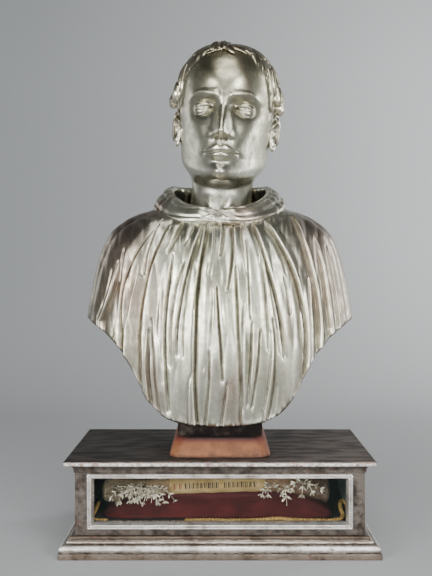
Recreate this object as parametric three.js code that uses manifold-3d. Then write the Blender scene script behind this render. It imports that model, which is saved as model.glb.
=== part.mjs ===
// A silvered reliquary bust in a pleated cloak, on a glazed case that holds a bone on a cushion.
// Millimetres, +Z up, front towards -Y, origin at the middle of the case's underside.
import * as THREE from 'three';
import Module from 'manifold-3d';

// Case: a moulded plinth, a box of boards with a glazed front, and a lid
const CASE_WIDTH = 431.5;
const CASE_DEPTH = 201;
const CASE_HEIGHT = 104.5;
const WALL = 10;
const FRONT_FRAME = 12;
const FLOOR_THICKNESS = 12;
const PLINTH_HEIGHT = 30;
const PLINTH_REACH = 21.5;
const LID_THICKNESS = 8.5;
const LID_REACH = 14.5;
const LID_EDGE_ROUND = 1.5;
const COVE_HEIGHT = 11.5;
const COVE_REACH = 6;

// Window: stiles and rails, a mitred bead on all four sides, and a pane behind
const STILE_WIDTH = 20;
const TOP_RAIL = 15.5;
const BOTTOM_RAIL = 10.5;
const BEAD_WIDTH = 9;
const BEAD_LAP = 2;
const BEAD_PROUD = 4;
const GLASS_THICKNESS = 2;
const GLASS_LAP = 6;
const LINING = 1;
const GAP = 0.3;

// Contents: cushion with its space to the linings and the pane, bone, label and leaf sprigs
const CUSHION_LEFT_SPACE = 12.5;
const CUSHION_RIGHT_SPACE = 19.5;
const CUSHION_FRONT_SPACE = 6;
const CUSHION_BACK_SPACE = 9;
const CUSHION_HEIGHT = 27;
const CORD_DIAMETER = 4;
const BONE_LEFT_INSET = 3;
const BONE_RIGHT_INSET = 12;
const BONE_FRONT = 22;
const SHAFT_RADIUS = 12.5;
const KNOB_RADIUS = 20;
const LABEL_LENGTH = 152;
const LABEL_THICKNESS = 0.6;
const LEAF_LENGTH = 11;
const LEAF_THICKNESS = 1.2;
const STEM_THICKNESS = 1.8;

// Foot and block that carry the bust
const FOOT_WIDTH = 153.5;
const FOOT_DEPTH = 172;
const FOOT_HEIGHT = 29;
const FOOT_SLOPE = 11;
const FOOT_CHAMFER = 13;
const FOOT_SHIFT = -11.5;
const BLOCK_WIDTH = 128;
const BLOCK_DEPTH = 142;
const BLOCK_HEIGHT = 18;
const BLOCK_CORNER = 7;

// Bust
const BUST_HEIGHT = 600;
const HEAD_LEAN = 3.6;
const HEAD_TURN = -3;

// Places that follow from the sizes above
const halfX = CASE_WIDTH / 2;
const halfY = CASE_DEPTH / 2;
const innerX = halfX - WALL;
const frameBack = -halfY + FRONT_FRAME;
const innerBack = halfY - WALL;
const lidUnder = PLINTH_HEIGHT + CASE_HEIGHT;
const lidTop = lidUnder + LID_THICKNESS;
const floorTop = PLINTH_HEIGHT + FLOOR_THICKNESS;
const windowX = halfX - STILE_WIDTH;
const windowTop = lidUnder - TOP_RAIL;
const windowBottom = PLINTH_HEIGHT + BOTTOM_RAIL;
const footTop = lidTop + FOOT_HEIGHT;
const blockTop = footTop + BLOCK_HEIGHT;
const bustBase = blockTop;
const bustScale = BUST_HEIGHT / 600;
const paneBack = frameBack + GAP + GLASS_THICKNESS;
const liningX = innerX - GAP - LINING;
const liningY = innerBack - GAP - LINING;
const cushionLeft = CUSHION_LEFT_SPACE - liningX;
const cushionRight = liningX - CUSHION_RIGHT_SPACE;
const cushionFront = paneBack + CUSHION_FRONT_SPACE;
const cushionBack = liningY - CUSHION_BACK_SPACE;
const cushionLength = cushionRight - cushionLeft;
const cushionDepth = cushionBack - cushionFront;
const cushionX = (cushionLeft + cushionRight) / 2;
const cushionY = (cushionFront + cushionBack) / 2;
const cushionUnder = floorTop + GAP;
const boneLength = cushionLength - BONE_LEFT_INSET - BONE_RIGHT_INSET;
const boneX = (cushionLeft + BONE_LEFT_INSET + cushionRight - BONE_RIGHT_INSET) / 2;

const silver = { color: 0xb9b4ab, roughness: 0.32, metalness: 0.9 };
const materials = {
  silverLeaf: new THREE.MeshStandardMaterial(silver),
  wornSilver: new THREE.MeshStandardMaterial({ color: 0x8d857c, roughness: 0.45, metalness: 0.7 }),
  brightBead: new THREE.MeshStandardMaterial({ color: 0xd6d5d0, roughness: 0.3, metalness: 0.85 }),
  tarnish: new THREE.MeshStandardMaterial({ color: 0x4a423d, roughness: 0.5, metalness: 0.5 }),
  boleFoot: new THREE.MeshStandardMaterial({ color: 0xb47b5c, roughness: 0.6, metalness: 0.1 }),
  darkWood: new THREE.MeshStandardMaterial({ color: 0x2b211d, roughness: 0.6, metalness: 0.1 }),
  glass: new THREE.MeshStandardMaterial({ color: 0xdfe8e6, roughness: 0.05, metalness: 0, opacity: 0.25 }),
  lining: new THREE.MeshStandardMaterial({ color: 0x4c615c, roughness: 0.9, metalness: 0 }),
  velvet: new THREE.MeshStandardMaterial({ color: 0x5b2024, roughness: 0.95, metalness: 0 }),
  goldCord: new THREE.MeshStandardMaterial({ color: 0xa98a4e, roughness: 0.6, metalness: 0.4 }),
  bone: new THREE.MeshStandardMaterial({ color: 0x8d7458, roughness: 0.7, metalness: 0 }),
  label: new THREE.MeshStandardMaterial({ color: 0xd3c4a3, roughness: 0.85, metalness: 0 }),
  foil: new THREE.MeshStandardMaterial({ color: 0xcfc6b0, roughness: 0.4, metalness: 0.6 })
};

const wasm = await Module();
wasm.setup();
const model = new THREE.Group();

function add(name, geometry, material) {
  const mesh = new THREE.Mesh(geometry, material);
  mesh.name = name;
  model.add(mesh);
  return mesh;
}

// Number helpers
const clamp = (value, low, high) => Math.min(Math.max(value, low), high);
const hill = (x, middle, width) => Math.exp(-(((x - middle) / width) ** 2));
const mix = (a, b, t) => a + (b - a) * t;

function smooth(low, high, x) {
  const t = clamp((x - low) / (high - low), 0, 1);
  return t * t * (3 - 2 * t);
}

// A smooth curve through control values, given as rows whose first column is the place
function splineRow(rows, x) {
  const last = rows.length - 1;
  let i = 0;
  while (i < last - 1 && x >= rows[i + 1][0]) i += 1;
  const h = rows[i + 1][0] - rows[i][0];
  const t = (x - rows[i][0]) / h;
  const slope = (k, column) => {
    const a = Math.max(k - 1, 0);
    const b = Math.min(k + 1, last);
    return (rows[b][column] - rows[a][column]) / (rows[b][0] - rows[a][0]);
  };
  return rows[i].map((start, column) => {
    const end = rows[i + 1][column];
    const bend = (2 * t ** 3 - 3 * t ** 2 + 1) * start + (3 * t ** 2 - 2 * t ** 3) * end;
    return bend + h * ((t ** 3 - 2 * t ** 2 + t) * slope(i, column) + (t ** 3 - t ** 2) * slope(i + 1, column));
  });
}

// Geometry helpers
function geometryFrom(points, faces) {
  let volume = 0;
  for (const [a, b, c] of faces) volume += points[a].dot(points[b].clone().cross(points[c]));
  const index = faces.flatMap(([a, b, c]) => (volume < 0 ? [a, c, b] : [a, b, c]));
  const geometry = new THREE.BufferGeometry().setFromPoints(points);
  geometry.setIndex(index);
  return geometry;
}

// Closed rings joined in order; an end ring of one point is a pole, a longer one is capped
function loft(rings, capOutline) {
  const points = rings.flat();
  const faces = [];
  const count = Math.max(...rings.map((ring) => ring.length));
  let start = 0;
  for (let r = 0; r < rings.length - 1; r += 1) {
    const next = start + rings[r].length;
    for (let i = 0; i < count; i += 1) {
      const j = (i + 1) % count;
      if (rings[r].length === 1) faces.push([start, next + j, next + i]);
      else if (rings[r + 1].length === 1) faces.push([start + i, start + j, next]);
      else {
        const [a, b, c, d] = [start + i, start + j, next + j, next + i];
        const first = points[a].distanceTo(points[c]) <= points[b].distanceTo(points[d]);
        faces.push(...(first ? [[a, b, c], [a, c, d]] : [[a, b, d], [b, c, d]]));
      }
    }
    start = next;
  }
  const cap = capOutline ? capFaces(capOutline) : fan(count);
  if (rings[0].length > 1) faces.push(...cap.map(([a, b, c]) => [c, b, a]));
  if (rings.at(-1).length > 1) faces.push(...cap.map(([a, b, c]) => [start + a, start + b, start + c]));
  return geometryFrom(points, faces);
}

// Faces that fill an outline, turning the same way as its points
function capFaces(outline) {
  const faces = THREE.ShapeUtils.triangulateShape(outline, []);
  const [a, b, c] = faces[0].map((i) => outline[i]);
  const facesTurn = b.clone().sub(a).cross(c.clone().sub(a));
  const sameWay = facesTurn * THREE.ShapeUtils.area(outline) > 0;
  return sameWay ? faces : faces.map(([i, j, k]) => [k, j, i]);
}

const fan = (count) => Array.from({ length: count - 2 }, (_, i) => [0, i + 1, i + 2]);
const steps = (count) => Array.from({ length: count }, (_, i) => i / count);
const spread = (low, high, count) => steps(count - 1).map((t) => mix(low, high, t)).concat(high);
const point = (x, y, z) => new THREE.Vector3(x, y, z);

function box(x0, x1, y0, y1, z0, z1) {
  const ring = (z) => [point(x0, y0, z), point(x1, y0, z), point(x1, y1, z), point(x0, y1, z)];
  return loft([ring(z0), ring(z1)]);
}

// A ring of sections joined into a closed tube
function closedTube(sections) {
  const sides = sections[0].length;
  const points = sections.flat();
  const faces = sections.flatMap((_, r) => steps(sides).flatMap((_t, i) => {
    const next = ((r + 1) % sections.length) * sides;
    const j = (i + 1) % sides;
    const [a, b, c, d] = [r * sides + i, r * sides + j, next + j, next + i];
    return [[a, b, c], [a, c, d]];
  }));
  return geometryFrom(points, faces);
}

// A rectangular slab whose edge follows a profile of [reach, z] all round
function mouldedSlab(profile) {
  return loft(profile.map(([reach, z]) => {
    const x = halfX + reach;
    const y = halfY + reach;
    return [point(x, -y, z), point(x, y, z), point(-x, y, z), point(-x, -y, z)];
  }));
}

// A strip between two mitred ends, its section carried from one end frame to the other
function strip(section, startAt, endAt) {
  const outline = section.map(([u, v]) => new THREE.Vector2(u, v));
  return loft([section.map(([u, v]) => startAt(u, v)), section.map(([u, v]) => endAt(u, v))], outline);
}

function toManifold(geometry) {
  const vertProperties = new Float32Array(geometry.getAttribute('position').array);
  const triVerts = new Uint32Array(geometry.getIndex().array);
  return new wasm.Manifold(new wasm.Mesh({ numProp: 3, vertProperties, triVerts }));
}

function toGeometry(manifold) {
  const mesh = manifold.getMesh();
  const geometry = new THREE.BufferGeometry();
  geometry.setAttribute('position', new THREE.BufferAttribute(new Float32Array(mesh.vertProperties), 3));
  geometry.setIndex(new THREE.BufferAttribute(new Uint32Array(mesh.triVerts), 1));
  return geometry;
}

const join = (parts) => toGeometry(parts.map(toManifold).reduce((sum, next) => sum.add(next)));

// Base plinth: fascia, ovolo, fillet and bead, drawn from the floor up
function basePlinth() {
  const fascia = PLINTH_HEIGHT * 0.3;
  const ovolo = steps(6).map((t) => {
    const turn = mix(-40, 75, t) * Math.PI / 180;
    return [PLINTH_REACH * 0.55 + 8.6 * Math.cos(turn), fascia + 5 + 6.6 * Math.sin(turn)];
  });
  return mouldedSlab([
    [PLINTH_REACH, 0], [PLINTH_REACH, fascia], ...ovolo,
    [PLINTH_REACH * 0.48, PLINTH_HEIGHT * 0.69], [PLINTH_REACH * 0.48, PLINTH_HEIGHT * 0.8],
    [PLINTH_REACH * 0.33, PLINTH_HEIGHT * 0.82], [PLINTH_REACH * 0.27, PLINTH_HEIGHT * 0.85],
    [PLINTH_REACH * 0.27, PLINTH_HEIGHT * 0.98], [PLINTH_REACH * 0.2, PLINTH_HEIGHT]
  ]);
}

function caseBoards() {
  add('case_floor', box(-innerX, innerX, frameBack, innerBack, PLINTH_HEIGHT, floorTop), materials.tarnish);
  add('case_back', box(-halfX, halfX, innerBack, halfY, PLINTH_HEIGHT, lidUnder), materials.tarnish);
  for (const [side, sign] of [['left', -1], ['right', 1]]) {
    const wall = box(sign * innerX, sign * halfX, frameBack, innerBack, PLINTH_HEIGHT, lidUnder);
    add(`case_side_${side}`, wall, materials.wornSilver);
    const stile = box(sign * windowX, sign * halfX, -halfY, frameBack, PLINTH_HEIGHT, lidUnder);
    add(`front_stile_${side}`, stile, materials.wornSilver);
  }
  const rails = { top: [windowTop, lidUnder], bottom: [PLINTH_HEIGHT, windowBottom] };
  for (const [name, [z0, z1]] of Object.entries(rails)) {
    add(`front_rail_${name}`, box(-windowX, windowX, -halfY, frameBack, z0, z1), materials.wornSilver);
  }
}

// Glazing bead: two ridges that step inwards to a lip in front of the pane
const beadSection = [
  [-BEAD_LAP, 0], [-BEAD_LAP, BEAD_PROUD * 0.6], [-0.5, BEAD_PROUD], [1.2, BEAD_PROUD * 0.8],
  [2, BEAD_PROUD * 0.45], [3.4, BEAD_PROUD * 0.6], [4.8, BEAD_PROUD * 0.2], [BEAD_WIDTH - BEAD_LAP, -4],
  [BEAD_WIDTH - BEAD_LAP, GAP - FRONT_FRAME], [GAP, GAP - FRONT_FRAME], [GAP, 0]
];

function glazing() {
  const across = (sign, z, inward) => (u, v) => point(sign * (windowX - u), -halfY - v, z + inward * u);
  const ends = {
    bead_top: [across(-1, windowTop, -1), across(1, windowTop, -1)],
    bead_bottom: [across(-1, windowBottom, 1), across(1, windowBottom, 1)],
    bead_left: [across(-1, windowBottom, 1), across(-1, windowTop, -1)],
    bead_right: [across(1, windowBottom, 1), across(1, windowTop, -1)]
  };
  for (const [name, [start, end]] of Object.entries(ends)) {
    add(name, strip(beadSection, start, end), materials.brightBead);
  }
  const x = windowX + GLASS_LAP;
  const z0 = Math.max(windowBottom - GLASS_LAP, floorTop + GAP);
  const z1 = Math.min(windowTop + GLASS_LAP, lidUnder - GAP);
  const pane = box(-x, x, frameBack + GAP, paneBack, z0, z1);
  add('glass_pane', pane, materials.glass);
}

// Cove under the lid: four mitred strips round the case
function coves() {
  const section = [[0, 0], [COVE_REACH, 0], [COVE_REACH, -1.5]];
  section.push(...steps(4).map((t) => {
    const turn = t * Math.PI / 2;
    const drop = COVE_HEIGHT - 3;
    return [COVE_REACH - (COVE_REACH - 1.5) * Math.sin(turn), -1.5 - drop * (1 - Math.cos(turn))];
  }).slice(1), [1.5, 1.5 - COVE_HEIGHT], [1.5, -COVE_HEIGHT], [0, -COVE_HEIGHT]);
  const corner = (signX, signY) => (u, v) => point(signX * (halfX + u), signY * (halfY + u), lidUnder + v);
  const ends = {
    cove_front: [corner(-1, -1), corner(1, -1)],
    cove_right: [corner(1, -1), corner(1, 1)],
    cove_back: [corner(1, 1), corner(-1, 1)],
    cove_left: [corner(-1, 1), corner(-1, -1)]
  };
  for (const [name, [start, end]] of Object.entries(ends)) {
    add(name, strip(section, start, end), materials.wornSilver);
  }
}

function lid() {
  const r = LID_EDGE_ROUND;
  return mouldedSlab([
    [LID_REACH - r, lidUnder], [LID_REACH, lidUnder + r], [LID_REACH, lidTop - r], [LID_REACH - r, lidTop]
  ]);
}

function linings() {
  const x1 = liningX + LINING;
  const z0 = floorTop + GAP;
  const z1 = lidUnder - GAP;
  for (const [side, sign] of [['left', -1], ['right', 1]]) {
    const card = box(sign * liningX, sign * x1, paneBack + GAP + LINING, liningY - GAP, z0, z1);
    add(`lining_${side}`, card, materials.lining);
  }
  add('lining_back', box(-x1, x1, liningY, liningY + LINING, z0, z1), materials.lining);
}

caseBoards();
add('base_plinth', basePlinth(), materials.wornSilver);
glazing();
coves();
add('lid', lid(), materials.tarnish);
linings();

// Foot with chamfered corners, and the block between it and the bust
function foot() {
  const centreY = FOOT_SHIFT;
  const ring = (inset, z) => {
    const x = FOOT_WIDTH / 2 - inset;
    const y = FOOT_DEPTH / 2 - inset;
    const c = FOOT_CHAMFER * (1 - inset / FOOT_WIDTH);
    const corners = [[x - c, -y], [x, c - y], [x, y - c], [x - c, y], [c - x, y], [-x, y - c], [-x, c - y], [c - x, -y]];
    return corners.map(([px, py]) => point(px, py + centreY, z));
  };
  return loft([
    ring(1, lidTop), ring(0, lidTop + 2), ring(FOOT_SLOPE * 0.5, lidTop + FOOT_HEIGHT * 0.62),
    ring(FOOT_SLOPE * 0.9, footTop - 2), ring(FOOT_SLOPE + 1, footTop)
  ]);
}

// Half x and height of the line that the cloak is cut along, as shares of a 600 mm bust
const CUT_LINE = [
  [0, 0], [30, 1], [52, 3.5], [73, 9], [92, 21], [108, 39], [120, 60], [133, 87], [148, 110], [168, 132],
  [190, 148], [214, 160]
];
const cutHeight = (x) => splineRow(CUT_LINE, Math.min(Math.abs(x), 214))[1];

function block() {
  const x = BLOCK_WIDTH / 2;
  const r = BLOCK_CORNER;
  const corner = steps(4).map((t) => {
    const turn = t * Math.PI / 2;
    return [x - r + r * Math.sin(turn), footTop + r - r * Math.cos(turn)];
  });
  const right = [...corner, [x, footTop + r], ...[1, 0.75, 0.5, 0.25].map((t) => {
    return [x * t, bustBase - GAP + bustScale * cutHeight(x * t / bustScale)];
  })];
  const top = [0, bustBase - GAP];
  const outline = [...right, top, ...right.map(([px, z]) => [-px, z]).reverse()];
  const y = BLOCK_DEPTH / 2;
  return strip(outline, (px, z) => point(px, FOOT_SHIFT - y, z), (px, z) => point(px, FOOT_SHIFT + y, z));
}

// Cushion: a rounded rectangle whose top falls off towards its edges
function cushionTop(x, y) {
  const along = Math.abs(2 * (x - cushionX) / cushionLength);
  const across = Math.abs(2 * (y - cushionY) / cushionDepth);
  const share = Math.min((along ** 5 + across ** 5) ** 0.2, 1);
  return cushionUnder + CUSHION_HEIGHT * (0.12 + 0.88 * (1 - share ** 2.2) ** 0.85);
}

function cushion() {
  const outline = steps(24).map((t) => {
    const turn = 2 * Math.PI * t;
    const [c, s] = [Math.cos(turn), Math.sin(turn)];
    const r = (Math.abs(c) ** 5 + Math.abs(s) ** 5) ** -0.2;
    return [c * r * cushionLength / 2, s * r * cushionDepth / 2];
  });
  const ring = (share, height) => outline.map(([dx, dy]) => {
    const [x, y] = [cushionX + dx * share, cushionY + dy * share];
    return point(x, y, height ?? cushionTop(x, y));
  });
  const tops = [0.95, 0.84, 0.66, 0.4].map((share) => ring(share));
  const crown = [point(cushionX, cushionY, cushionTop(cushionX, cushionY))];
  return loft([ring(0.96, cushionUnder), ring(1, cushionUnder + CUSHION_HEIGHT * 0.1), ...tops, crown]);
}

// Gold cord sewn along the cushion's lower edge
function tube(points, diameter, sides, count) {
  const section = new THREE.Shape(steps(sides).map((t) => {
    return new THREE.Vector2(Math.cos(2 * Math.PI * t), Math.sin(2 * Math.PI * t)).multiplyScalar(diameter / 2);
  }));
  const extrudePath = new THREE.CatmullRomCurve3(points);
  const geometry = new THREE.ExtrudeGeometry(section, { steps: count, extrudePath });
  geometry.deleteAttribute('normal');
  geometry.deleteAttribute('uv');
  return geometry;
}

// Cord routes: share of the cushion's length, then sideways in cord diameters,
// share of the cushion's depth and height in cord diameters
const FRONT_CORD = [
  [0.37, 0, 0, 0], [0.455, 0, 0, 0.12], [0.56, 0, 0, 0], [0.67, 0, 0, 0.25], [0.74, 0, 0, 0.75], [0.8, 0, 0, 0.25],
  [0.9, 0, 0, 0], [1, -5, 0, 0], [1, -1.6, 0.006, 0.5], [1, -0.1, 0.056, 1], [1, 0, 0.19, 1.75], [1, 0.5, 0.31, 2.75],
  [1, 1.4, 0.36, 3.25], [1, 2.4, 0.31, 2.5], [1, 2.5, 0.2, 1]
];
const LEFT_CORD = [
  [0, 6, 0, 0], [0, 2, 0.004, 0], [0, 0, 0.05, 0.25], [0, 0, 0.21, 1], [0, 0, 0.44, 1.5]
];

function cords() {
  const low = cushionUnder + CORD_DIAMETER / 2;
  const aside = CORD_DIAMETER / 2 + GAP;
  const at = ([along, sideways, back, height]) => point(
    mix(cushionLeft - aside, cushionRight + aside, along) + sideways * CORD_DIAMETER,
    cushionFront - aside + back * cushionDepth,
    low + height * CORD_DIAMETER
  );
  add('cushion_cord_front', tube(FRONT_CORD.map(at), CORD_DIAMETER, 5, 28), materials.goldCord);
  add('cushion_cord_left', tube(LEFT_CORD.map(at), CORD_DIAMETER, 5, 8), materials.goldCord);
}

// Long bone: place along its length as a share, then shift forward, height and radius
const shaftHeight = cushionUnder + CUSHION_HEIGHT + GAP + SHAFT_RADIUS;
const knobHeight = shaftHeight - 8;
const BONE_STATIONS = [
  [0, -10, knobHeight, 0], [0.006, -10, knobHeight, KNOB_RADIUS * 0.55], [0.03, -10, knobHeight, KNOB_RADIUS * 0.93],
  [0.055, -9, knobHeight, KNOB_RADIUS], [0.085, -8, knobHeight + 0.5, KNOB_RADIUS * 0.9],
  [0.12, -6, knobHeight + 3, SHAFT_RADIUS * 1.15], [0.19, -3, shaftHeight - 4, SHAFT_RADIUS],
  [0.3, -1, shaftHeight - 1, SHAFT_RADIUS * 0.96], [0.5, 0, shaftHeight + 1, SHAFT_RADIUS * 0.94],
  [0.72, 3, shaftHeight + 2, SHAFT_RADIUS * 0.94], [0.84, 6, shaftHeight, SHAFT_RADIUS * 1.12],
  [0.9, 8, shaftHeight - 3, SHAFT_RADIUS * 1.3], [0.96, 10, knobHeight + 2, SHAFT_RADIUS * 1.5],
  [0.99, 11, knobHeight + 2, SHAFT_RADIUS * 1.4], [1, 11, knobHeight + 2, 0]
];

function bonePoint(share, turn, proud) {
  const [, forward, height, radius] = splineRow(BONE_STATIONS, share);
  const x = boneX + (share - 0.5) * boneLength;
  const r = radius + proud;
  return point(x, -BONE_FRONT - forward - r * Math.cos(turn), height + r * Math.sin(turn));
}

function relicBone() {
  const turns = steps(10).map((t) => 2 * Math.PI * t);
  const rings = BONE_STATIONS.map(([share, , , radius], i) => {
    const around = radius === 0 ? [0] : turns;
    return around.map((turn) => {
      const lobes = i > 9 && radius > 0 ? 1 + 0.1 * Math.cos(3 * turn + 0.6) : 1;
      return bonePoint(share, turn, radius * (lobes - 1));
    });
  });
  return loft(rings);
}

function relicLabel() {
  const stations = spread(-0.474, 0.526, 5).map((t) => 0.5 + t * LABEL_LENGTH / boneLength);
  const turns = spread(-50, 72, 7).map((angle) => angle * Math.PI / 180);
  const inner = 3 * GAP;
  const section = [...turns.map((turn) => [turn, inner]), ...turns.map((turn) => [turn, inner + LABEL_THICKNESS]).reverse()];
  const outline = section.map(([turn, proud]) => {
    return new THREE.Vector2(Math.cos(turn), Math.sin(turn)).multiplyScalar(SHAFT_RADIUS + proud);
  });
  return loft(stations.map((share) => section.map(([turn, proud]) => bonePoint(share, turn, proud))), outline);
}

// Sprig: a thin stem with pairs of pointed leaves and one at its tip
function leaf(root, along, across, length) {
  const up = along.clone().cross(across).normalize();
  const middle = root.clone().addScaledVector(along, length * 0.55);
  const tip = root.clone().addScaledVector(along, length);
  const width = length * 0.2;
  const ring = [[across, width], [up, LEAF_THICKNESS], [across, -width]]
    .map(([way, reach]) => middle.clone().addScaledVector(way, reach));
  const start = root.clone().addScaledVector(along, -LEAF_THICKNESS);
  return loft([[start], ring, [tip]]);
}

function sprig(start, end, pairs) {
  const along = end.clone().sub(start);
  const length = along.length();
  along.normalize();
  const facing = point(0, -0.85, 0.53);
  const across = along.clone().cross(facing).normalize();
  const up = across.clone().cross(along).normalize();
  const stemRing = (place, size) => steps(3).map((t) => {
    const turn = 2 * Math.PI * t;
    return start.clone().addScaledVector(along, place * length)
      .addScaledVector(across, size * Math.cos(turn)).addScaledVector(up, size * Math.sin(turn));
  });
  const pieces = [loft([stemRing(0, STEM_THICKNESS / 2), stemRing(1, STEM_THICKNESS / 3)])];
  for (let i = 0; i < pairs; i += 1) {
    const place = (i + 0.5) / pairs;
    const root = start.clone().addScaledVector(along, place * length);
    for (const sign of [-1, 1]) {
      const way = along.clone().multiplyScalar(0.6).addScaledVector(across, sign * 0.8).normalize();
      const side = way.clone().cross(up).normalize();
      pieces.push(leaf(root, way, side, LEAF_LENGTH * (1 - 0.25 * place)));
    }
  }
  pieces.push(leaf(end, along, across, LEAF_LENGTH * 0.9));
  return join(pieces);
}

// Each sprig: share along the bone, x lean, drop and pairs of leaves
const SPRIGS = {
  sprig_left_1: [0.13, -10, 22, 3],
  sprig_left_2: [0.18, 4, 24, 3],
  sprig_left_3: [0.225, 12, 26, 3],
  sprig_right_1: [0.74, -9, 20, 2],
  sprig_right_2: [0.8, 6, 30, 3],
  sprig_right_3: [0.87, -5, 17, 2]
};

function sprigs() {
  for (const [name, [share, lean, drop, pairs]] of Object.entries(SPRIGS)) {
    const start = bonePoint(share, 0.5, STEM_THICKNESS + GAP);
    const tip = point(start.x + lean, start.y - drop * 0.6, start.z - drop);
    tip.z = Math.max(tip.z, cushionTop(tip.x, tip.y) + LEAF_LENGTH * 0.4);
    const end = tip.clone().addScaledVector(tip.clone().sub(start).normalize(), -LEAF_LENGTH * 0.8);
    add(name, sprig(start, end, pairs), materials.foil);
  }
}

// Cloak: rings from the neck down, as share of the fall, half width, front and back depth,
// then height of the front, side and back above the bust's base
const CLOAK_RINGS = [
  [0, 84, 74, 64, 310, 336, 355], [1, 112, 88, 80, 301, 329, 344], [2, 144, 101, 92, 283, 317, 324],
  [3, 174, 109, 100, 259, 293, 296], [4, 191, 113, 104, 226, 257, 260], [5, 201, 115, 104, 191, 218, 220],
  [6, 210, 116, 102, 153, 168, 170], [7, 215, 114, 98, 108, 115, 115], [8, 217, 108, 89, 58, 60, 60],
  [9, 218, 99, 78, 6, 6, 6], [10, 218, 93, 66, -40, -40, -40]
];
// Folds: x and height at the top, x and height at the foot, bow, depth, width and 1 for a closed end
const FOLDS = [
  [-19, 304, -36, -5, -8, 10, 6.5, 0], [29, 302, 35, 2, 0, 9, 6.5, 0], [45, 300, 69, 6, 20, 9, 6.5, 0],
  [65, 302, 92, 100, 11, 9, 6, 1], [83, 300, 126, 94, 23, 10, 6.5, 1], [112, 312, 141, 114, 19, 10, 7, 1],
  [150, 284, 165, 146, 0, 8, 6, 1], [168, 270, 190, 150, 1, 8, 6, 1], [-25, 300, -57, 98, -16, 10, 6.5, 1],
  [-50, 304, -80, 260, 0, 8, 6, 1], [-68, 302, -132, 108, -22, 10, 7, 1], [-86, 308, -147, 128, -16, 9, 6.5, 1],
  [-138, 280, -173, 159, 2, 12, 8, 0], [-77, 225, -77, 10, -9, 9, 7, 0], [-107, 146, -103, 32, -2, 10, 7, 0],
  [1.5, 302, 0, 254, 0, 7, 4.5, 1], [-5, 198, 3, 72, -1, 7, 6, 1], [20, 300, 13, 195, 3, 8, 5, 1],
  [68, 234, 86, 100, 6, 8, 6, 1], [104, 110, 104, 36, 3, 7, 7, 0]
];
const CLOAK_SQUARE = 2.25;

function cloakSurface(turn, ring) {
  const [, half, front, back, zFront, zSide, zBack] = splineRow(CLOAK_RINGS, ring);
  const s = Math.sin(turn);
  const c = Math.cos(turn);
  const r = (Math.abs(s) ** CLOAK_SQUARE + Math.abs(c) ** CLOAK_SQUARE) ** (-1 / CLOAK_SQUARE);
  const depth = c > 0 ? front : back;
  return point(half * s * r, -depth * c * r, zSide + ((c > 0 ? zFront : zBack) - zSide) * c * c);
}

// Depth of the folds at a place on the front, as narrow valleys between round ridges
function foldHeight(x, z) {
  let height = 0;
  for (const [xTop, zTop, xFoot, zFoot, bow, depth, width, closed] of FOLDS) {
    const fall = (zTop - z) / (zTop - zFoot);
    const along = clamp(fall, 0, 1);
    const line = mix(xTop, xFoot, along) + bow * Math.sin(Math.PI * along);
    const past = Math.max((fall - 1) * (zTop - zFoot), -fall * (zTop - zFoot), 0);
    const away = Math.hypot(x - line, past, 1.3) - 1.3;
    const ends = smooth(-0.02, 0.1, fall) * (1 - smooth(closed ? 0.7 : 1.05, closed ? 1.08 : 1.3, fall));
    height -= depth * ends * Math.exp(-away / (width * (1 + 0.5 * along)));
  }
  return height;
}

function cloakPoint(turn, ring) {
  const p = cloakSurface(turn, ring);
  const nudge = 0.001;
  const across = cloakSurface(turn + nudge, ring).sub(p);
  const down = cloakSurface(turn, ring + nudge).sub(cloakSurface(turn, ring - nudge));
  const out = down.cross(across).normalize();
  const front = 1.2 * smooth(0, 0.35, Math.cos(turn));
  const back = smooth(0.05, 0.5, -Math.cos(turn));
  const ripple = Math.abs(Math.sin(turn * 4.5 + 0.5 * Math.sin(ring * 0.9 + turn * 3))) ** 0.7 - 0.6;
  const height = front * foldHeight(p.x, p.z) + 7 * back * smooth(0.4, 2.5, ring) * ripple;
  return p.addScaledVector(out, height * smooth(0, 0.5, ring));
}

// Ring share where a column of the cloak meets the cut line, found by halving
function hemShare(turn) {
  let [above, below] = [3, 10];
  for (let i = 0; i < 30; i += 1) {
    const middle = (above + below) / 2;
    const p = cloakSurface(turn, middle);
    if (p.z > cutHeight(p.x)) above = middle;
    else below = middle;
  }
  return above;
}

const CLOAK_COLUMNS = 64;
const CLOAK_ROWS = 19;

function cloak() {
  const [reach, high] = [260, 500];
  const turns = steps(CLOAK_COLUMNS).map((t) => {
    const turn = 2 * Math.PI * (t - 0.5);
    return turn - 0.36 * Math.sin(turn) + 0.05 * Math.sin(2 * turn);
  });
  const hems = turns.map(hemShare);
  const rows = spread(0, 1, CLOAK_ROWS).map((share) => turns.map((turn, i) => cloakPoint(turn, share * hems[i])));
  const inside = turns.map((turn) => cloakSurface(turn, 0).multiply(point(0.82, 0.82, 0.93)));
  const below = rows.at(-1).map((p) => point(p.x, p.y, p.z - 12));
  const uncut = loft([[point(0, 0, 292)], inside, ...rows, below, [point(0, 0, -reach)]]);
  const kept = [...CUT_LINE, [reach, CUT_LINE.at(-1)[1]], [reach, high]];
  const outline = [...kept, ...kept.slice(1).map(([x, z]) => [-x, z]).reverse()];
  const above = strip(outline, (x, z) => point(x, -reach, z), (x, z) => point(x, reach, z));
  return toGeometry(toManifold(uncut).intersect(toManifold(above)));
}

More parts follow.
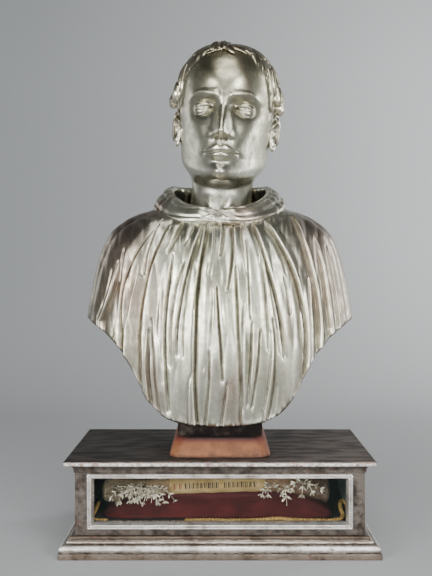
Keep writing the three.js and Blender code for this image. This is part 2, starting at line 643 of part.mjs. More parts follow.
// Collar: a soft band round the neck, dipping to a small notch at the front
function collar() {
  const around = 30;
  const sides = 7;
  const ring = (turn) => steps(sides).map((share) => {
    const [s, c] = [Math.sin(turn), Math.cos(turn)];
    const [rise, back] = [smooth(-0.3, 1, c), smooth(0.2, 1, -c)];
    const x = (90 - 2 * c) * s;
    const notch = c > 0 ? Math.exp(-Math.abs(x + 3) / 16) : 0;
    const height = 15 + 3.5 * back - 4.5 * notch;
    const lean = (26 - 10 * back) * Math.PI / 180;
    const section = 2 * Math.PI * share;
    const out = (8 - notch) * Math.cos(section);
    const up = height * Math.sin(section);
    const reach = out * Math.cos(lean) - up * Math.sin(lean);
    const z = 347 - 31 * rise + 6 * smooth(0, 1, -c) - 3.5 * notch + up * Math.cos(lean) + out * Math.sin(lean);
    return point(x + s * reach, -(c > 0 ? 84 : 66) * c - c * reach, z);
  });
  return closedTube(steps(around).map((t) => ring(2 * Math.PI * (t - 0.5))));
}

// Head: leaning rings from the neck to the crown, as ring, front y and z, back y and z,
// half width and narrowing towards the face, with the chin at height 0
const HEAD_RINGS = [
  [0, -50, -72, 52, -52, 53, 0.02], [1, -45, -34, 54, -4, 49, 0.02], [2, -45, -8, 57, 22, 50, 0.03],
  [3, -64, -1, 62, 36, 55, 0.07], [4, -83, 2, 69, 48, 61, 0.13], [5, -90, 12, 77, 58, 65.5, 0.14],
  [6, -88, 28, 85, 70, 68.5, 0.13], [7, -91, 43, 91, 82, 70.5, 0.12], [8, -91, 62, 96, 96, 72.5, 0.11],
  [9, -89, 88, 99, 114, 75, 0.09], [10, -88, 112, 99, 134, 76.5, 0.07], [11, -94, 128, 97, 147, 77, 0.06],
  [12, -96, 155, 92, 168, 77, 0.05], [13, -87, 184, 81, 190, 72, 0.04], [14, -64, 211, 61, 211, 57, 0.02],
  [15, -32, 227, 35, 226, 34, 0], [16, -1, 232, 3, 232, 0, 0]
];
const EYE = { x: 31.5, z: 112, radius: 14, forward: 60.5 };
// Nose: height, ridge and half width from its base to the bridge
const NOSE = [
  [52, 0, 8], [61, 3, 10], [65, 17, 11], [70, 26, 11.5], [78, 24, 9.5], [88, 18.5, 8.6], [100, 12.5, 8],
  [112, 8, 8.5], [132, 0, 14]
];

// How far the face stands forward of the plain head, on usual proportions
function faceHeight(x, z) {
  const ax = Math.abs(x);
  let height = 5 * hill(z, 129, 7.5) * smooth(4, 14, ax) * (1 - smooth(46, 62, ax));
  height += 6 * hill(ax, 0, 27) * hill(z, 45, 19) + 7 * hill(ax, 0, 19) * hill(z, 12, 11);
  height -= 3.6 * hill(ax, 0, 17) * hill(z, 28.5, 5);
  height += 4 * hill(ax, 52, 15) * hill(z, 90, 12) + 4.5 * hill(ax, 36, 15) * hill(z, 76, 15);
  height -= 3 * hill(ax, 52, 13) * hill(z, 54, 15);
  height -= 13 * hill(ax, 32, 16) * hill(z, 112.5, 12) + 6 * hill(ax, 17.5, 6.5) * hill(z, 115.5, 8);
  const [, ridge, half] = splineRow(NOSE, clamp(z, 52, 132));
  height += ridge * Math.exp(-((ax / half) ** 2.5)) + 4.5 * hill(z, 84, 17) * hill(ax, 0, 17);
  height += 8 * hill(ax, 13, 5.5) * hill(z, 69, 7);
  const lips = (1 - smooth(20, 29, ax)) * (4.4 * hill(z, 47.5, 3.6) + 5 * hill(z, 38.5, 4));
  return height + lips - 2.5 * (1 - smooth(25, 30, ax)) * hill(z, 43, 1.8);
}

// Hair in tiers of locks round the sides and back, lower ones on the crown, and a forelock.
// Each tier has four rings, from the tips of its locks up to their roots, and locks alternate by column
const LOCK_RIDGE = [11.5, 10, 7.5, 4.5];
const LOCK_GROOVE = [-1, 1.5, 3.5, 4];

function hairHeight(turn, ring, column, row) {
  const around = Math.abs(turn);
  const hairline = 1.25 + 0.3 * (1 - smooth(9, 11, ring));
  const fringe = smooth(hairline, hairline + 0.15, around) * smooth(6.8, 7, ring) * (1 - smooth(12.2, 13, ring));
  const thin = 0.3 * smooth(12.2, 13, ring) * (1 - smooth(14.8, 15.6, ring)) * smooth(0.7, 1.6, around);
  const forelock = 0.6 * hill(turn, 0.1, 0.3) * smooth(13.4, 14, ring) * (1 - smooth(14.6, 15, ring));
  const ridge = (column + Math.floor(row / 4)) % 2 === 0;
  return (fringe + thin + forelock) * (ridge ? LOCK_RIDGE : LOCK_GROOVE)[row % 4];
}

function headPoint(turn, ring, column, row) {
  const [, yFront, zFront, yBack, zBack, half, narrowing] = splineRow(HEAD_RINGS, ring);
  const back = (1 - Math.cos(turn)) / 2;
  const x = half * (Math.sin(turn) - narrowing * Math.sin(2 * turn));
  const y = mix(yFront, yBack, back);
  const z = mix(zFront, zBack, back);
  const front = smooth(0.05, 0.45, Math.cos(turn));
  const away2 = (Math.abs(x) - EYE.x) ** 2 + (z - EYE.z) ** 2;
  const eyeball = EYE.forward + Math.sqrt(Math.max(EYE.radius ** 2 - away2, 0));
  let forward = front * faceHeight(x, z) - y;
  if (away2 < EYE.radius ** 2 && front > 0) forward = Math.max(forward, eyeball);
  const hair = hairHeight(turn, ring, column, row) / Math.hypot(half, 40);
  return point(x * (1 + hair), -forward * (1 + hair), z + 60 * hair * smooth(11, 15, ring));
}

const HEAD_COLUMNS = 48;
const RING_SHARES = [
  0, 1.8, 3, 4, 4.9, 5.5, 6.05, 6.65, 7, 7.25, 7.6, 8, 8.25, 8.6, 9, 9.4, 9.7, 10, 10.4, 10.8,
  11.1, 11.5, 12, 12.6, 13.2, 13.8, 14.5, 15.3
];

function head() {
  const turns = steps(HEAD_COLUMNS).map((t) => {
    const turn = 2 * Math.PI * (t - 0.5);
    return turn - 0.45 * Math.sin(turn) + 0.04 * Math.sin(2 * turn);
  });
  const rings = RING_SHARES.map((ring, row) => turns.map((turn, column) => headPoint(turn, ring, column, row)));
  return loft([[point(0, 0, -80)], ...rings, [headPoint(0, 16, 0, 0)]]);
}

// Ear: a dished oval with a raised rim, turned a little forwards
function ear(side) {
  const rims = [[0, -4], [0.42, -4.5], [0.6, 1], [0.78, -1], [0.96, 2.5], [1, -1], [0.6, -12], [0, -14]];
  const centre = point(side * 80, 8, 93);
  const out = point(side * 0.87, -0.5, 0);
  const across = point(side * 0.5, 0.87, -0.05).normalize();
  const up = point(0, 0.16, 0.99);
  const around = steps(11).map((t) => 2 * Math.PI * t);
  return loft(rims.map(([share, height]) => (share === 0 ? [0] : around).map((turn) => {
    const wide = 16.5 + 3 * Math.sin(turn);
    return centre.clone().addScaledVector(across, share * wide * Math.cos(turn))
      .addScaledVector(up, share * 32 * Math.sin(turn)).addScaledVector(out, height);
  })));
}

function bust() {
  const place = new THREE.Matrix4().makeTranslation(3, 2, 368)
    .multiply(new THREE.Matrix4().makeRotationY(HEAD_LEAN * Math.PI / 180))
    .multiply(new THREE.Matrix4().makeRotationZ(HEAD_TURN * Math.PI / 180));
  const headParts = [head(), ear(-1), ear(1)].map((geometry) => geometry.applyMatrix4(place));
  const whole = join([cloak(), collar(), ...headParts]);
  const { x, y, z } = point(bustScale, bustScale, bustScale);
  return whole.scale(x, y, z).translate(0, 0, bustBase);
}

add('bust', bust(), materials.silverLeaf);
add('foot', foot(), materials.boleFoot);
add('block', block(), materials.darkWood);
add('cushion', cushion(), materials.velvet);
cords();
add('relic_bone', relicBone(), materials.bone);
add('relic_label', relicLabel(), materials.label);
sprigs();

export default model;
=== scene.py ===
import math
from functools import partial

import bmesh
import bpy
import numpy as np
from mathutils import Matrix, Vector


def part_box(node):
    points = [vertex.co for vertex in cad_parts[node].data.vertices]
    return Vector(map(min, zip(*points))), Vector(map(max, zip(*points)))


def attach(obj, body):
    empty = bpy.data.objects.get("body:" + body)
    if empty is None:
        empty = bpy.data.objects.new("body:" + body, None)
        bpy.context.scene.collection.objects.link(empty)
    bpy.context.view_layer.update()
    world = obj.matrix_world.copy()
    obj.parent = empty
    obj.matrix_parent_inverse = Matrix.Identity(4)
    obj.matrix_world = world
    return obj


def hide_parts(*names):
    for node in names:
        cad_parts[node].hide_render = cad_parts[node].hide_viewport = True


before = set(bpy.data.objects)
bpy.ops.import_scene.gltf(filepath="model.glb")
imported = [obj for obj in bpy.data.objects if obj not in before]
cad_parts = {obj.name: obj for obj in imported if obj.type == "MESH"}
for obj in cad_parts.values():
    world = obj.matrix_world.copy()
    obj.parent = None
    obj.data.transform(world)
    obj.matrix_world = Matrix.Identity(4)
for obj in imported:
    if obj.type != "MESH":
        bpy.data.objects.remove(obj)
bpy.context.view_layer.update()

MM = 0.001
FULL_TURN = 2 * math.pi


def node_box(name):
    """Lowest and highest corner of a CAD node, in millimetres."""
    return [np.array(corner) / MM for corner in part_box(name)]


CASE_HIGH = node_box("case_back")[1]
LID_LOW, LID_HIGH = node_box("lid")
PLINTH_HIGH = node_box("base_plinth")[1]
BUST_LOW, BUST_HIGH = node_box("bust")
CUSHION_LOW, CUSHION_HIGH = node_box("cushion")
BONE_LOW, BONE_HIGH = node_box("relic_bone")
FOOT_LOW, FOOT_HIGH = node_box("foot")
BLOCK_LOW, BLOCK_HIGH = node_box("block")
HALF_X, HALF_Y = CASE_HIGH[:2]
FLOOR_TOP = CUSHION_LOW[2]


# ---------------------------------------------------------------- number helpers
def smooth(low, high, x):
    """An even step from 0 at low to 1 at high."""
    t = np.clip((x - low) / (high - low), 0, 1)
    return t * t * (3 - 2 * t)


def hill(x, middle, width):
    """A bell curve of height 1 at the middle."""
    return np.exp(-(((x - middle) / width) ** 2))


def smooth_max(a, b, blend):
    """The higher of two surfaces, with a rounded join of that height."""
    t = np.clip(0.5 + 0.5 * (a - b) / blend, 0, 1)
    return b * (1 - t) + a * t + blend * t * (1 - t)


def spline(table, column, x):
    """A smooth curve through a table's column, against its first column, slopes from the neighbours."""
    xs, ys = table[:, 0], table[:, column]
    secant = np.diff(ys) / np.diff(xs)
    slope = np.concatenate([secant[:1], (secant[:-1] + secant[1:]) / 2, secant[-1:]])
    i = np.clip(np.searchsorted(xs, x, side="right") - 1, 0, len(xs) - 2)
    h = xs[i + 1] - xs[i]
    t = (x - xs[i]) / h
    value = (2 * t**3 - 3 * t**2 + 1) * ys[i] + (t**3 - 2 * t**2 + t) * h * slope[i]
    return value + (3 * t**2 - 2 * t**3) * ys[i + 1] + (t**3 - t**2) * h * slope[i + 1]


def spaced(count, density, low, high):
    """Places between low and high, closer together where the density is greater."""
    t = np.linspace(low, high, 4001)
    d = density(t)
    total = np.concatenate([[0], np.cumsum((d[1:] + d[:-1]) / 2)])
    return np.interp(np.linspace(0, total[-1], count), total, t)


def scatter(n, salt):
    """Even pseudo-random shares for whole numbers."""
    value = np.sin(np.asarray(n, float) * 12.9898 + salt * 78.233) * 43758.5453
    return value - np.floor(value)


def ripple(points, size, salt):
    """A soft uneven field between about -1 and 1, from sums of slanted waves of that size in mm."""
    total = np.zeros(points.shape[:-1])
    for k in range(5):
        way = np.array([math.sin(2.4 * k + salt), math.cos(1.7 * k + 2 * salt), math.sin(3.1 * k + 1 + salt)])
        bend = np.sin(points @ way[::-1] * (1.3 / size) + 4 * k + salt)
        total += np.sin(points @ way * (FULL_TURN / size) * (0.6 + 0.22 * k) + 1.9 * bend + 7 * k)
    return total / 3.2


def ridges(angle, power=0.7):
    """Round ridges from 0 to 1 with sharp valleys between: a sine's size to a power."""
    return np.abs(np.sin(angle)) ** power


def signed_power(value, power):
    """The size to a power, with the sign kept, which makes a circle's sine and cosine squarer."""
    return np.sign(value) * np.abs(value) ** power


def unit(v):
    """Vectors divided by their length."""
    return v / np.maximum(np.linalg.norm(v, axis=-1, keepdims=True), 1e-9)


# ---------------------------------------------------------------- mesh helpers
def make_piece(name, shape, materials=(), slot=None, stands_for=(), which=None, closed=True):
    """A smooth mesh piece from a shape's points in mm and lists of faces; with a slot it rides on the one body."""
    points, faces = shape
    mesh = bpy.data.meshes.new(name)
    mesh.from_pydata((np.asarray(points).reshape(-1, 3) * MM).tolist(), [], faces)
    mesh.validate()
    for material in materials:
        mesh.materials.append(material)
    if which is not None:
        mesh.polygons.foreach_set("material_index", np.asarray(which, np.int32))
    mesh.polygons.foreach_set("use_smooth", np.full(len(mesh.polygons), True))
    piece = bpy.data.objects.new(name, mesh)
    bpy.context.scene.collection.objects.link(piece)
    if slot:
        dress(piece, slot, *stands_for)
    if closed:
        outward(mesh)
    return piece


def dress(piece, slot, *nodes):
    """Sets a piece's body and hides the CAD nodes that it takes the place of; the slot is not used."""
    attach(piece, "root")
    if nodes:
        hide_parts(*nodes)


def grid_faces(rows, columns, wrap_rows=False):
    """Four-sided faces of a grid whose columns close round, numbered row by row."""
    index = np.arange(rows * columns).reshape(rows, columns)
    below = np.roll(index, -1, 0) if wrap_rows else index[1:]
    index = index if wrap_rows else index[:-1]
    faces = np.stack([index, np.roll(index, -1, 1), np.roll(below, -1, 1), below], -1)
    return faces.reshape(-1, 4).tolist()


def lofted(grid, first_pole=None, last_pole=None):
    """Points and faces of rings joined in order and closed by the poles that are given."""
    rows, columns = grid.shape[:2]
    points = [grid.reshape(-1, 3)]
    faces = grid_faces(rows, columns)
    step = np.arange(columns)
    after = (step + 1) % columns
    spare = rows * columns
    for pole, ring, turned in ((first_pole, 0, True), (last_pole, (rows - 1) * columns, False)):
        if pole is None:
            continue
        points.append(np.asarray(pole, float).reshape(1, 3))
        a, b = (after, step) if turned else (step, after)
        faces += np.stack([a + ring, b + ring, np.full(columns, spare)], -1).tolist()
        spare += 1
    return np.concatenate(points), faces


def pointed(grid):
    """Points and faces of rings joined in order, with a pole in the middle of either end."""
    return lofted(grid, grid[0].mean(0), grid[-1].mean(0))


def gather(parts):
    """One set of points and faces from several."""
    points, faces, start = [], [], 0
    for part_points, part_faces in parts:
        points.append(part_points)
        faces += [[i + start for i in face] for face in part_faces]
        start += len(part_points)
    return np.concatenate(points), faces


def baked(piece):
    """The mesh that a piece's modifiers make, which are used up."""
    graph = bpy.context.evaluated_depsgraph_get()
    mesh = bpy.data.meshes.new_from_object(piece.evaluated_get(graph))
    piece.modifiers.clear()
    return mesh


def combine(piece, other, operation):
    """Joins or cuts a closed piece with another one, which is used up."""
    step = piece.modifiers.new("combine", "BOOLEAN")
    step.operation = operation
    step.solver = "MANIFOLD"
    step.object = other
    piece.data = baked(piece)
    bpy.data.objects.remove(other)


def thin_out(piece, triangles):
    """Merges the flattest faces until that many triangles are left, and shrinks what that tears open to points."""
    step = piece.modifiers.new("thin_out", "DECIMATE")
    step.ratio = min(1, triangles / sum(len(face.vertices) - 2 for face in piece.data.polygons))
    step.use_collapse_triangulate = True
    mesh = baked(piece)
    work = bmesh.new()
    work.from_mesh(mesh)
    for _ in range(3):
        bmesh.ops.collapse(work, edges=[edge for edge in work.edges if not edge.is_manifold])
        bmesh.ops.dissolve_degenerate(work, edges=work.edges, dist=1e-6)
        bmesh.ops.delete(work, geom=[point for point in work.verts if not point.link_faces], context="VERTS")
    work.to_mesh(mesh)
    work.free()
    piece.data = mesh


def outward(mesh):
    """Turns a closed mesh's faces outwards."""
    work = bmesh.new()
    work.from_mesh(mesh)
    bmesh.ops.recalc_face_normals(work, faces=work.faces)
    work.to_mesh(mesh)
    work.free()


def coordinates(mesh):
    """A mesh's points in mm."""
    values = np.empty(len(mesh.vertices) * 3)
    mesh.vertices.foreach_get("co", values)
    return values.reshape(-1, 3) / MM


def edge_ends(mesh):
    """Numbers of the two points of every edge."""
    ends = np.empty(len(mesh.edges) * 2, np.int64)
    mesh.edges.foreach_get("vertices", ends)
    return ends.reshape(-1, 2)


def relax(mesh, values, rounds):
    """Averages per-vertex values with their neighbours, that many times."""
    a, b = edge_ends(mesh).T
    count = len(mesh.vertices)
    number = np.maximum(np.bincount(a, minlength=count) + np.bincount(b, minlength=count), 1)
    for _ in range(rounds):
        for column in range(values.shape[1]):
            v = values[:, column]
            near = np.bincount(a, v[b], count) + np.bincount(b, v[a], count)
            values[:, column] = 0.5 * v + 0.5 * near / number
    return values


def mark(mesh, name, values):
    """Stores one number per point for a material to read."""
    layer = mesh.attributes.new(name, "FLOAT", "POINT")
    layer.data.foreach_set("value", np.asarray(values, np.float32))


def mark_hollows(mesh, rounds, depth):
    """Stores how far each point lies under the smoothed surface: 1 in a hollow of that depth, -1 on a ridge."""
    points = coordinates(mesh)
    normals = np.empty(len(mesh.vertices) * 3)
    mesh.vertices.foreach_get("normal", normals)
    settled = relax(mesh, points.copy(), rounds)
    lift = ((settled - points) * normals.reshape(-1, 3)).sum(1) / depth
    mark(mesh, "hollow", np.clip(relax(mesh, lift[:, None], 1)[:, 0], -1, 1))


# ---------------------------------------------------------------- material helpers
def colour(code):
    """sRGB hex to the linear colour that a shader takes."""
    values = [int(code[i:i + 2], 16) / 255 for i in (1, 3, 5)]
    return tuple(v / 12.92 if v <= 0.04045 else ((v + 0.055) / 1.055) ** 2.4 for v in values) + (1.0,)


def join(target, inputs):
    """Fills a node's sockets, by name or number or in order: with a value, a hex colour, an output, or a node,
    which stands for its first output in use."""
    for name, value in inputs.items() if isinstance(inputs, dict) else enumerate(inputs):
        if isinstance(value, bpy.types.Node):
            value = next(output for output in value.outputs if output.enabled)
        if isinstance(value, bpy.types.NodeSocket):
            target.id_data.links.new(value, target.inputs[name])
        else:
            target.inputs[name].default_value = colour(value) if isinstance(value, str) else value


def node(tree, kind, inputs=(), stops=(), **settings):
    """Adds one node: its own settings, what its sockets take, and a ramp's stops as places and hex colours."""
    made = tree.nodes.new("ShaderNode" + kind)
    for name, value in settings.items():
        setattr(made, name, value)
    join(made, inputs)
    for i, (place, code) in enumerate(stops):
        elements = made.color_ramp.elements
        element = elements[i] if i < 2 else elements.new(place)
        element.position = place
        element.color = colour(code)
    return made


def new_material(name):
    """A material, what adds a node to it, its shader, and the object's own coordinates in metres."""
    material = bpy.data.materials.new(name)
    material.use_nodes = True
    tree = material.node_tree
    return material, partial(node, tree), tree.nodes["Principled BSDF"], node(tree, "TexCoord").outputs["Object"]


# ---------------------------------------------------------------- head
# Leaning rings of the head: ring, front y and z, back y and z, half width, narrowing to the face
HEAD_RINGS = np.array([
    [0, -50, -72, 52, -52, 53, 0.02], [1, -45, -34, 54, -4, 49, 0.02], [2, -45, -8, 57, 22, 50, 0.04],
    [3, -64, -1, 62, 36, 54, 0.12], [4, -83, 2, 69, 48, 59, 0.22], [5, -91, 12, 77, 58, 63.5, 0.23],
    [6, -89, 28, 85, 70, 67, 0.2], [7, -91, 43, 91, 82, 69.5, 0.17], [8, -91, 62, 96, 96, 72.5, 0.14],
    [9, -89, 88, 99, 114, 75, 0.11], [10, -88, 112, 99, 134, 76.5, 0.08], [11, -94, 128, 97, 147, 77, 0.06],
    [12, -96, 154, 92, 167, 76.5, 0.05], [13, -87, 182, 81, 187, 71, 0.04], [14, -64, 207, 61, 207, 56, 0.02],
    [15, -32, 221, 35, 220, 33, 0], [16, -1, 225, 3, 225, 0, 0],
], float)
HEAD_LEAN, HEAD_TURN = math.radians(3.6), math.radians(-3)
HEAD_PLACE = np.array([3.0, 2.0, BUST_LOW[2] + 368.0])
TOP_RING = 15.9
# Eye: its place, radius and front, half the length of its opening, thickness of the lid
EYE_X, EYE_Z, EYE_RADIUS, EYE_FRONT = 31.5, 112.5, 15.5, 72.6
EYE_OPENING, EYELID = 14.2, 1.6
# Nose from its base up: height, how far the ridge stands out, half width
NOSE = np.array([
    [52, 0, 9], [58, 0.5, 10], [61.5, 3, 11], [64, 12, 12], [67, 21.5, 12.5], [71, 25.5, 12.5], [78, 23.5, 11.5],
    [88, 18.5, 10.5], [100, 12.5, 9.8], [112, 8, 10], [122, 4.5, 12], [132, 0, 15],
], float)


def head_surface(turn, ring):
    """The plain head: each ring leans from a front point to a back point; turn 0 is the face."""
    front_y, front_z, back_y, back_z, half, narrowing = (spline(HEAD_RINGS, i, ring) for i in range(1, 7))
    back = (1 - np.cos(turn)) / 2
    x = half * (np.sin(turn) - narrowing * np.sin(2 * turn))
    return np.stack([x, front_y + (back_y - front_y) * back, front_z + (back_z - front_z) * back], -1)


def face_masses(ax, z):
    """Brow, muzzle, chin, cheeks and eye sockets as soft hills on usual proportions, in mm forwards."""
    # Brow ridges, forehead, and the rise between the brows
    h = 3.8 * hill(z, 128.5 + 0.06 * (ax - 20), 7) * smooth(4, 14, ax) * (1 - smooth(46, 62, ax))
    h += 1.8 * hill(ax, 27, 19) * hill(z, 163, 17) + 1.6 * hill(ax, 0, 11) * hill(z, 133, 9)
    # Muzzle and chin, cheekbones and cheeks
    h += 5 * hill(ax, 0, 25) * hill(z, 45, 20) + 6 * hill(ax, 0, 17) * hill(z, 14, 11)
    h += 4.5 * hill(ax, 50, 16) * hill(z, 88, 13) + 4 * hill(ax, 35, 15) * hill(z, 76, 16)
    # Groove over the chin and flat of the jaw, eye sockets and their inner corners
    h -= 3.0 * hill(ax, 0, 19) * hill(z, 27.5, 7.5) + 3 * hill(ax, 52, 13) * hill(z, 54, 15)
    h -= 12 * hill(ax, EYE_X + 0.5, 16) * hill(z, 112, 11.5) + 5 * hill(ax, 17.5, 6.5) * hill(z, 115.5, 8)
    # Tendons of the neck, then a soft fold that runs down from the wing of the nose
    h += 4.2 * hill(ax, 7 + 0.5 * np.maximum(z + 46, 0), 7.5) * (1 - smooth(-32, -12, z)) * smooth(-80, -60, z)
    fall = np.clip((68 - z) / 26, -0.4, 1.25)
    away = ax - (17.5 + 13 * fall)
    step = np.where(away > 0, np.exp(-((away / 13) ** 2)), np.exp(-((away / 7) ** 2)))
    return h + 1.3 * step * smooth(-0.25, 0.25, fall) * (1 - smooth(0.85, 1.25, fall))


def nose_height(ax, z):
    """A ridge whose height and width follow the table, with rounded wings and nostrils."""
    inside = np.clip(z, 52, 132)
    h = spline(NOSE, 1, inside) * np.exp(-((ax / spline(NOSE, 2, inside)) ** 2.2))
    h += 4.5 * hill(z, 84, 17) * hill(ax, 0, 17)
    round_wing = ((ax - 11.5) / 7) ** 2 + ((z - 69.5) / np.where(z > 69.5, 9.5, 5.5)) ** 2
    h = smooth_max(h, 11.5 * np.exp(-round_wing), 5.0)
    nostril = ((ax - 6.8) / 3.7) ** 2 + ((z - 63.6) / 2.7) ** 2
    return h - 7 * np.exp(-nostril**1.5)


def mouth_height(ax, z):
    """Closed lips: two rolls that meet on a gently bowed line, a groove above them and soft corners."""
    reach = 1 - smooth(23, 29, ax)
    line = 42.6 + 0.9 * np.cos(ax / 26 * math.pi * 1.5) * reach
    top = 50.6 - 1.5 * hill(ax, 0, 3.4) + 0.9 * hill(ax, 6.5, 5) - 5.5 * smooth(7, 27, ax)
    bottom = 33.8 + 6.5 * smooth(7, 27, ax)
    over = z - line
    up = np.clip(over / np.maximum(top - line, 1.2), 0, 1.6)
    down = np.clip(-over / np.maximum(line - bottom, 1.2), 0, 1.6)
    upper = np.sin(np.clip(up, 0, 1) * math.pi * 0.62) ** 0.8 * (1 - smooth(1, 1.35, up)) * (over >= 0)
    lower = np.sin(np.clip(down, 0, 1) * math.pi * 0.8) ** 0.7 * (1 - smooth(0.9, 1.6, down)) * (over < 0)
    corner = smooth(8, 24, ax)
    h = reach * (2.7 * upper * (1 - 0.35 * corner) + 3.6 * lower * (1 - 0.55 * corner))
    h -= (1 - smooth(25, 30, ax)) * 1.6 * np.exp(-((over / 1.3) ** 2)) + 2 * hill(ax, 27, 3.5) * hill(z, 42, 3.5)
    groove = smooth(49, 53, z) * (1 - smooth(58, 63, z))
    return h + groove * (0.7 * hill(ax, 5.6, 2.6) - 1.2 * hill(ax, 0, 3.4))


def with_eyes(ax, z, forward):
    """Adds lids round an eyeball: a ball in an almond opening, a crease above it and a soft fold below."""
    dx, dz = ax - EYE_X, z - EYE_Z
    away = dx**2 + dz**2
    lid_radius = EYE_RADIUS + EYELID
    sink = 60 * smooth(lid_radius**2 * 0.78, lid_radius**2 * 1.5, away)
    lid = EYE_FRONT + EYELID - lid_radius + np.sqrt(np.maximum(lid_radius**2 - away, 0)) - sink
    out = smooth_max(forward, lid, 3.5)
    t = np.clip(dx / EYE_OPENING, -1, 1)
    ends = 1 - smooth(0.84, 1, np.abs(t))
    top = 3.0 * (1 - np.abs(t + 0.1) ** 2.2) * ends - 0.6 * t
    bottom = -3.9 * (1 - np.abs(t - 0.1) ** 2.2) * ends - 0.6 * t
    opening = smooth(-0.8, 0.8, top - dz) * smooth(-0.8, 0.8, dz - bottom) * (np.abs(dx) < EYE_OPENING)
    iris = np.sqrt(dx**2 + (dz - 0.6) ** 2)
    ball = EYE_FRONT - EYE_RADIUS + np.sqrt(np.maximum(EYE_RADIUS**2 - away, 0))
    ball = ball - 0.6 * hill(iris, 5.4, 0.9) - 0.9 * (1 - smooth(1.0, 2.8, iris))
    out = out * (1 - opening) + ball * opening
    out += 1.1 * hill(dz, top + 1.3, 1.3) * (np.abs(dx) < 14) * (1 - opening)
    out -= 1.3 * hill(dz, top + 5.6 + 1.2 * t, 1.3) * (1 - smooth(12, 17, np.abs(dx)))
    return out - 0.6 * hill(dz, bottom - 6.5, 1.8) * (1 - smooth(10, 16, np.abs(dx)))


def eyebrows(ax, z):
    """Short slanted strands along an arch."""
    arch = 130 + 5 * np.sin(np.clip((ax - 12) / 42, 0, 1) * math.pi * 0.62) - 7 * smooth(36, 58, ax)
    across = (z - arch) / (4.2 - 1.8 * smooth(20, 52, ax))
    strand = 0.5 + 0.5 * np.cos((ax * 0.9 + (z - arch) * 1.5) * 1.55)
    body = smooth(9, 15, ax) * (1 - smooth(44, 56, ax))
    return body * np.exp(-(across**2) ** 1.5) * (1.3 + 0.8 * strand)


def with_face(points, turn):
    """Moves the front of the plain head forwards by the sum of the face's heights."""
    front = smooth(0.05, 0.45, np.cos(turn))
    ax, z = np.abs(points[..., 0]), points[..., 2]
    forward = front * (face_masses(ax, z) + nose_height(ax, z) + mouth_height(ax, z)) - points[..., 1]
    forward = forward * (1 - front) + with_eyes(ax, z, forward) * front + front * eyebrows(ax, z)
    return np.stack([points[..., 0], -forward, z], -1)


def hairline_ring(around):
    """Ring of the hair's front edge: high over the bald forehead, then down the temples to the ears."""
    return 13.9 - 1.4 * smooth(0.35, 1.0, around) - 3.2 * smooth(0.95, 1.32, around)


def hair_cap(turn, ring, points):
    """How far the mass of hair stands over the scalp: thin combed strands on the crown, fuller round the sides."""
    around, z = np.abs(turn), points[..., 2]
    over = smooth(0, 0.35, ring - hairline_ring(around) - 0.08 * np.sin(turn * 23) - 0.05 * np.sin(turn * 41))
    nape = 62 + 10 * (1 - smooth(1.9, 2.6, around))
    full = smooth(1.1, 1.3, around) * (1 - smooth(12.2, 13.4, ring))
    strands = ridges(turn * 31 + 1.5 * np.sin(z * 0.09) + np.sin(turn * 7))
    combed = ridges(turn * 24 + 5 * (ring - 13) * np.sign(turn) + np.sin(ring * 9))
    low = smooth(nape - 8, nape + 8, z) * (1 - (1 - smooth(1.25, 1.4, around)) * (1 - smooth(9.6, 10.4, ring)))
    ear_gap = 1 - smooth(1.3, 1.4, around) * (1 - smooth(1.84, 1.96, around)) * (1 - smooth(9.9, 10.5, ring))
    crown = (1 - full) * (1.1 + 1.5 * combed) * (1 - 0.55 * smooth(14.2, 15.6, ring))
    return over * low * ear_gap * (full * (3.0 + 1.0 * strands) + crown)


def locks(table, stations=10, sides=14):
    """Bodies of curling locks. Each is swept down the scalp along an arc, ridged, and lifts to a point."""
    turn, ring, fall, width, height, curl, salt = (table[:, i, None] for i in range(7))
    t = np.linspace(0.04, 0.97, stations)[None]

    def sideways(u):
        """Turn round the head at a share of the lock: a curl that grows, with a wave on it."""
        return curl * u**1.5 + 0.35 * curl * np.sin(4.2 * u + 2 * salt)

    def place(u, more=0.0):
        """The scalp's point at a share of the lock."""
        return head_surface(turn + sideways(u) + more, np.clip(ring - fall * u, 0, TOP_RING))

    nudge = 0.02
    spot = place(t)
    along = unit(place(t + nudge) - spot)
    around = unit(place(t, nudge) - spot)
    rise = head_surface(turn + sideways(t), np.clip(ring - fall * t + nudge, 0, TOP_RING + 0.05)) - spot
    out = unit(np.cross(around, rise))
    side = unit(np.cross(along, out))
    size = np.sin(np.pi * (0.12 + 0.84 * t)) ** 0.6 * (1 - 0.3 * t)
    turned = np.linspace(0, FULL_TURN, sides, endpoint=False)[None, None]
    ridges = 1 + 0.22 * np.cos(5 * turned + 2 * salt[..., None])
    up = np.where(np.sin(turned) > 0, np.sin(turned) ** 0.8 * ridges, np.sin(turned) * 0.7) * (height * size)[..., None]
    across = np.cos(turned) * (width * size)[..., None]
    lift = (1.5 + 0.6 * height * t**2)[..., None, None]
    grid = spot[..., None, :] + side[..., None, :] * across[..., None] + out[..., None, :] * (up[..., None] + lift)
    start = spot[:, 0] - along[:, 0] * 2 + out[:, 0] * 1.0
    tip = grid[:, -1].mean(1) + along[:, -1] * (0.3 * width)
    return [lofted(body, first, last) for body, first, last in zip(grid, start, tip)]


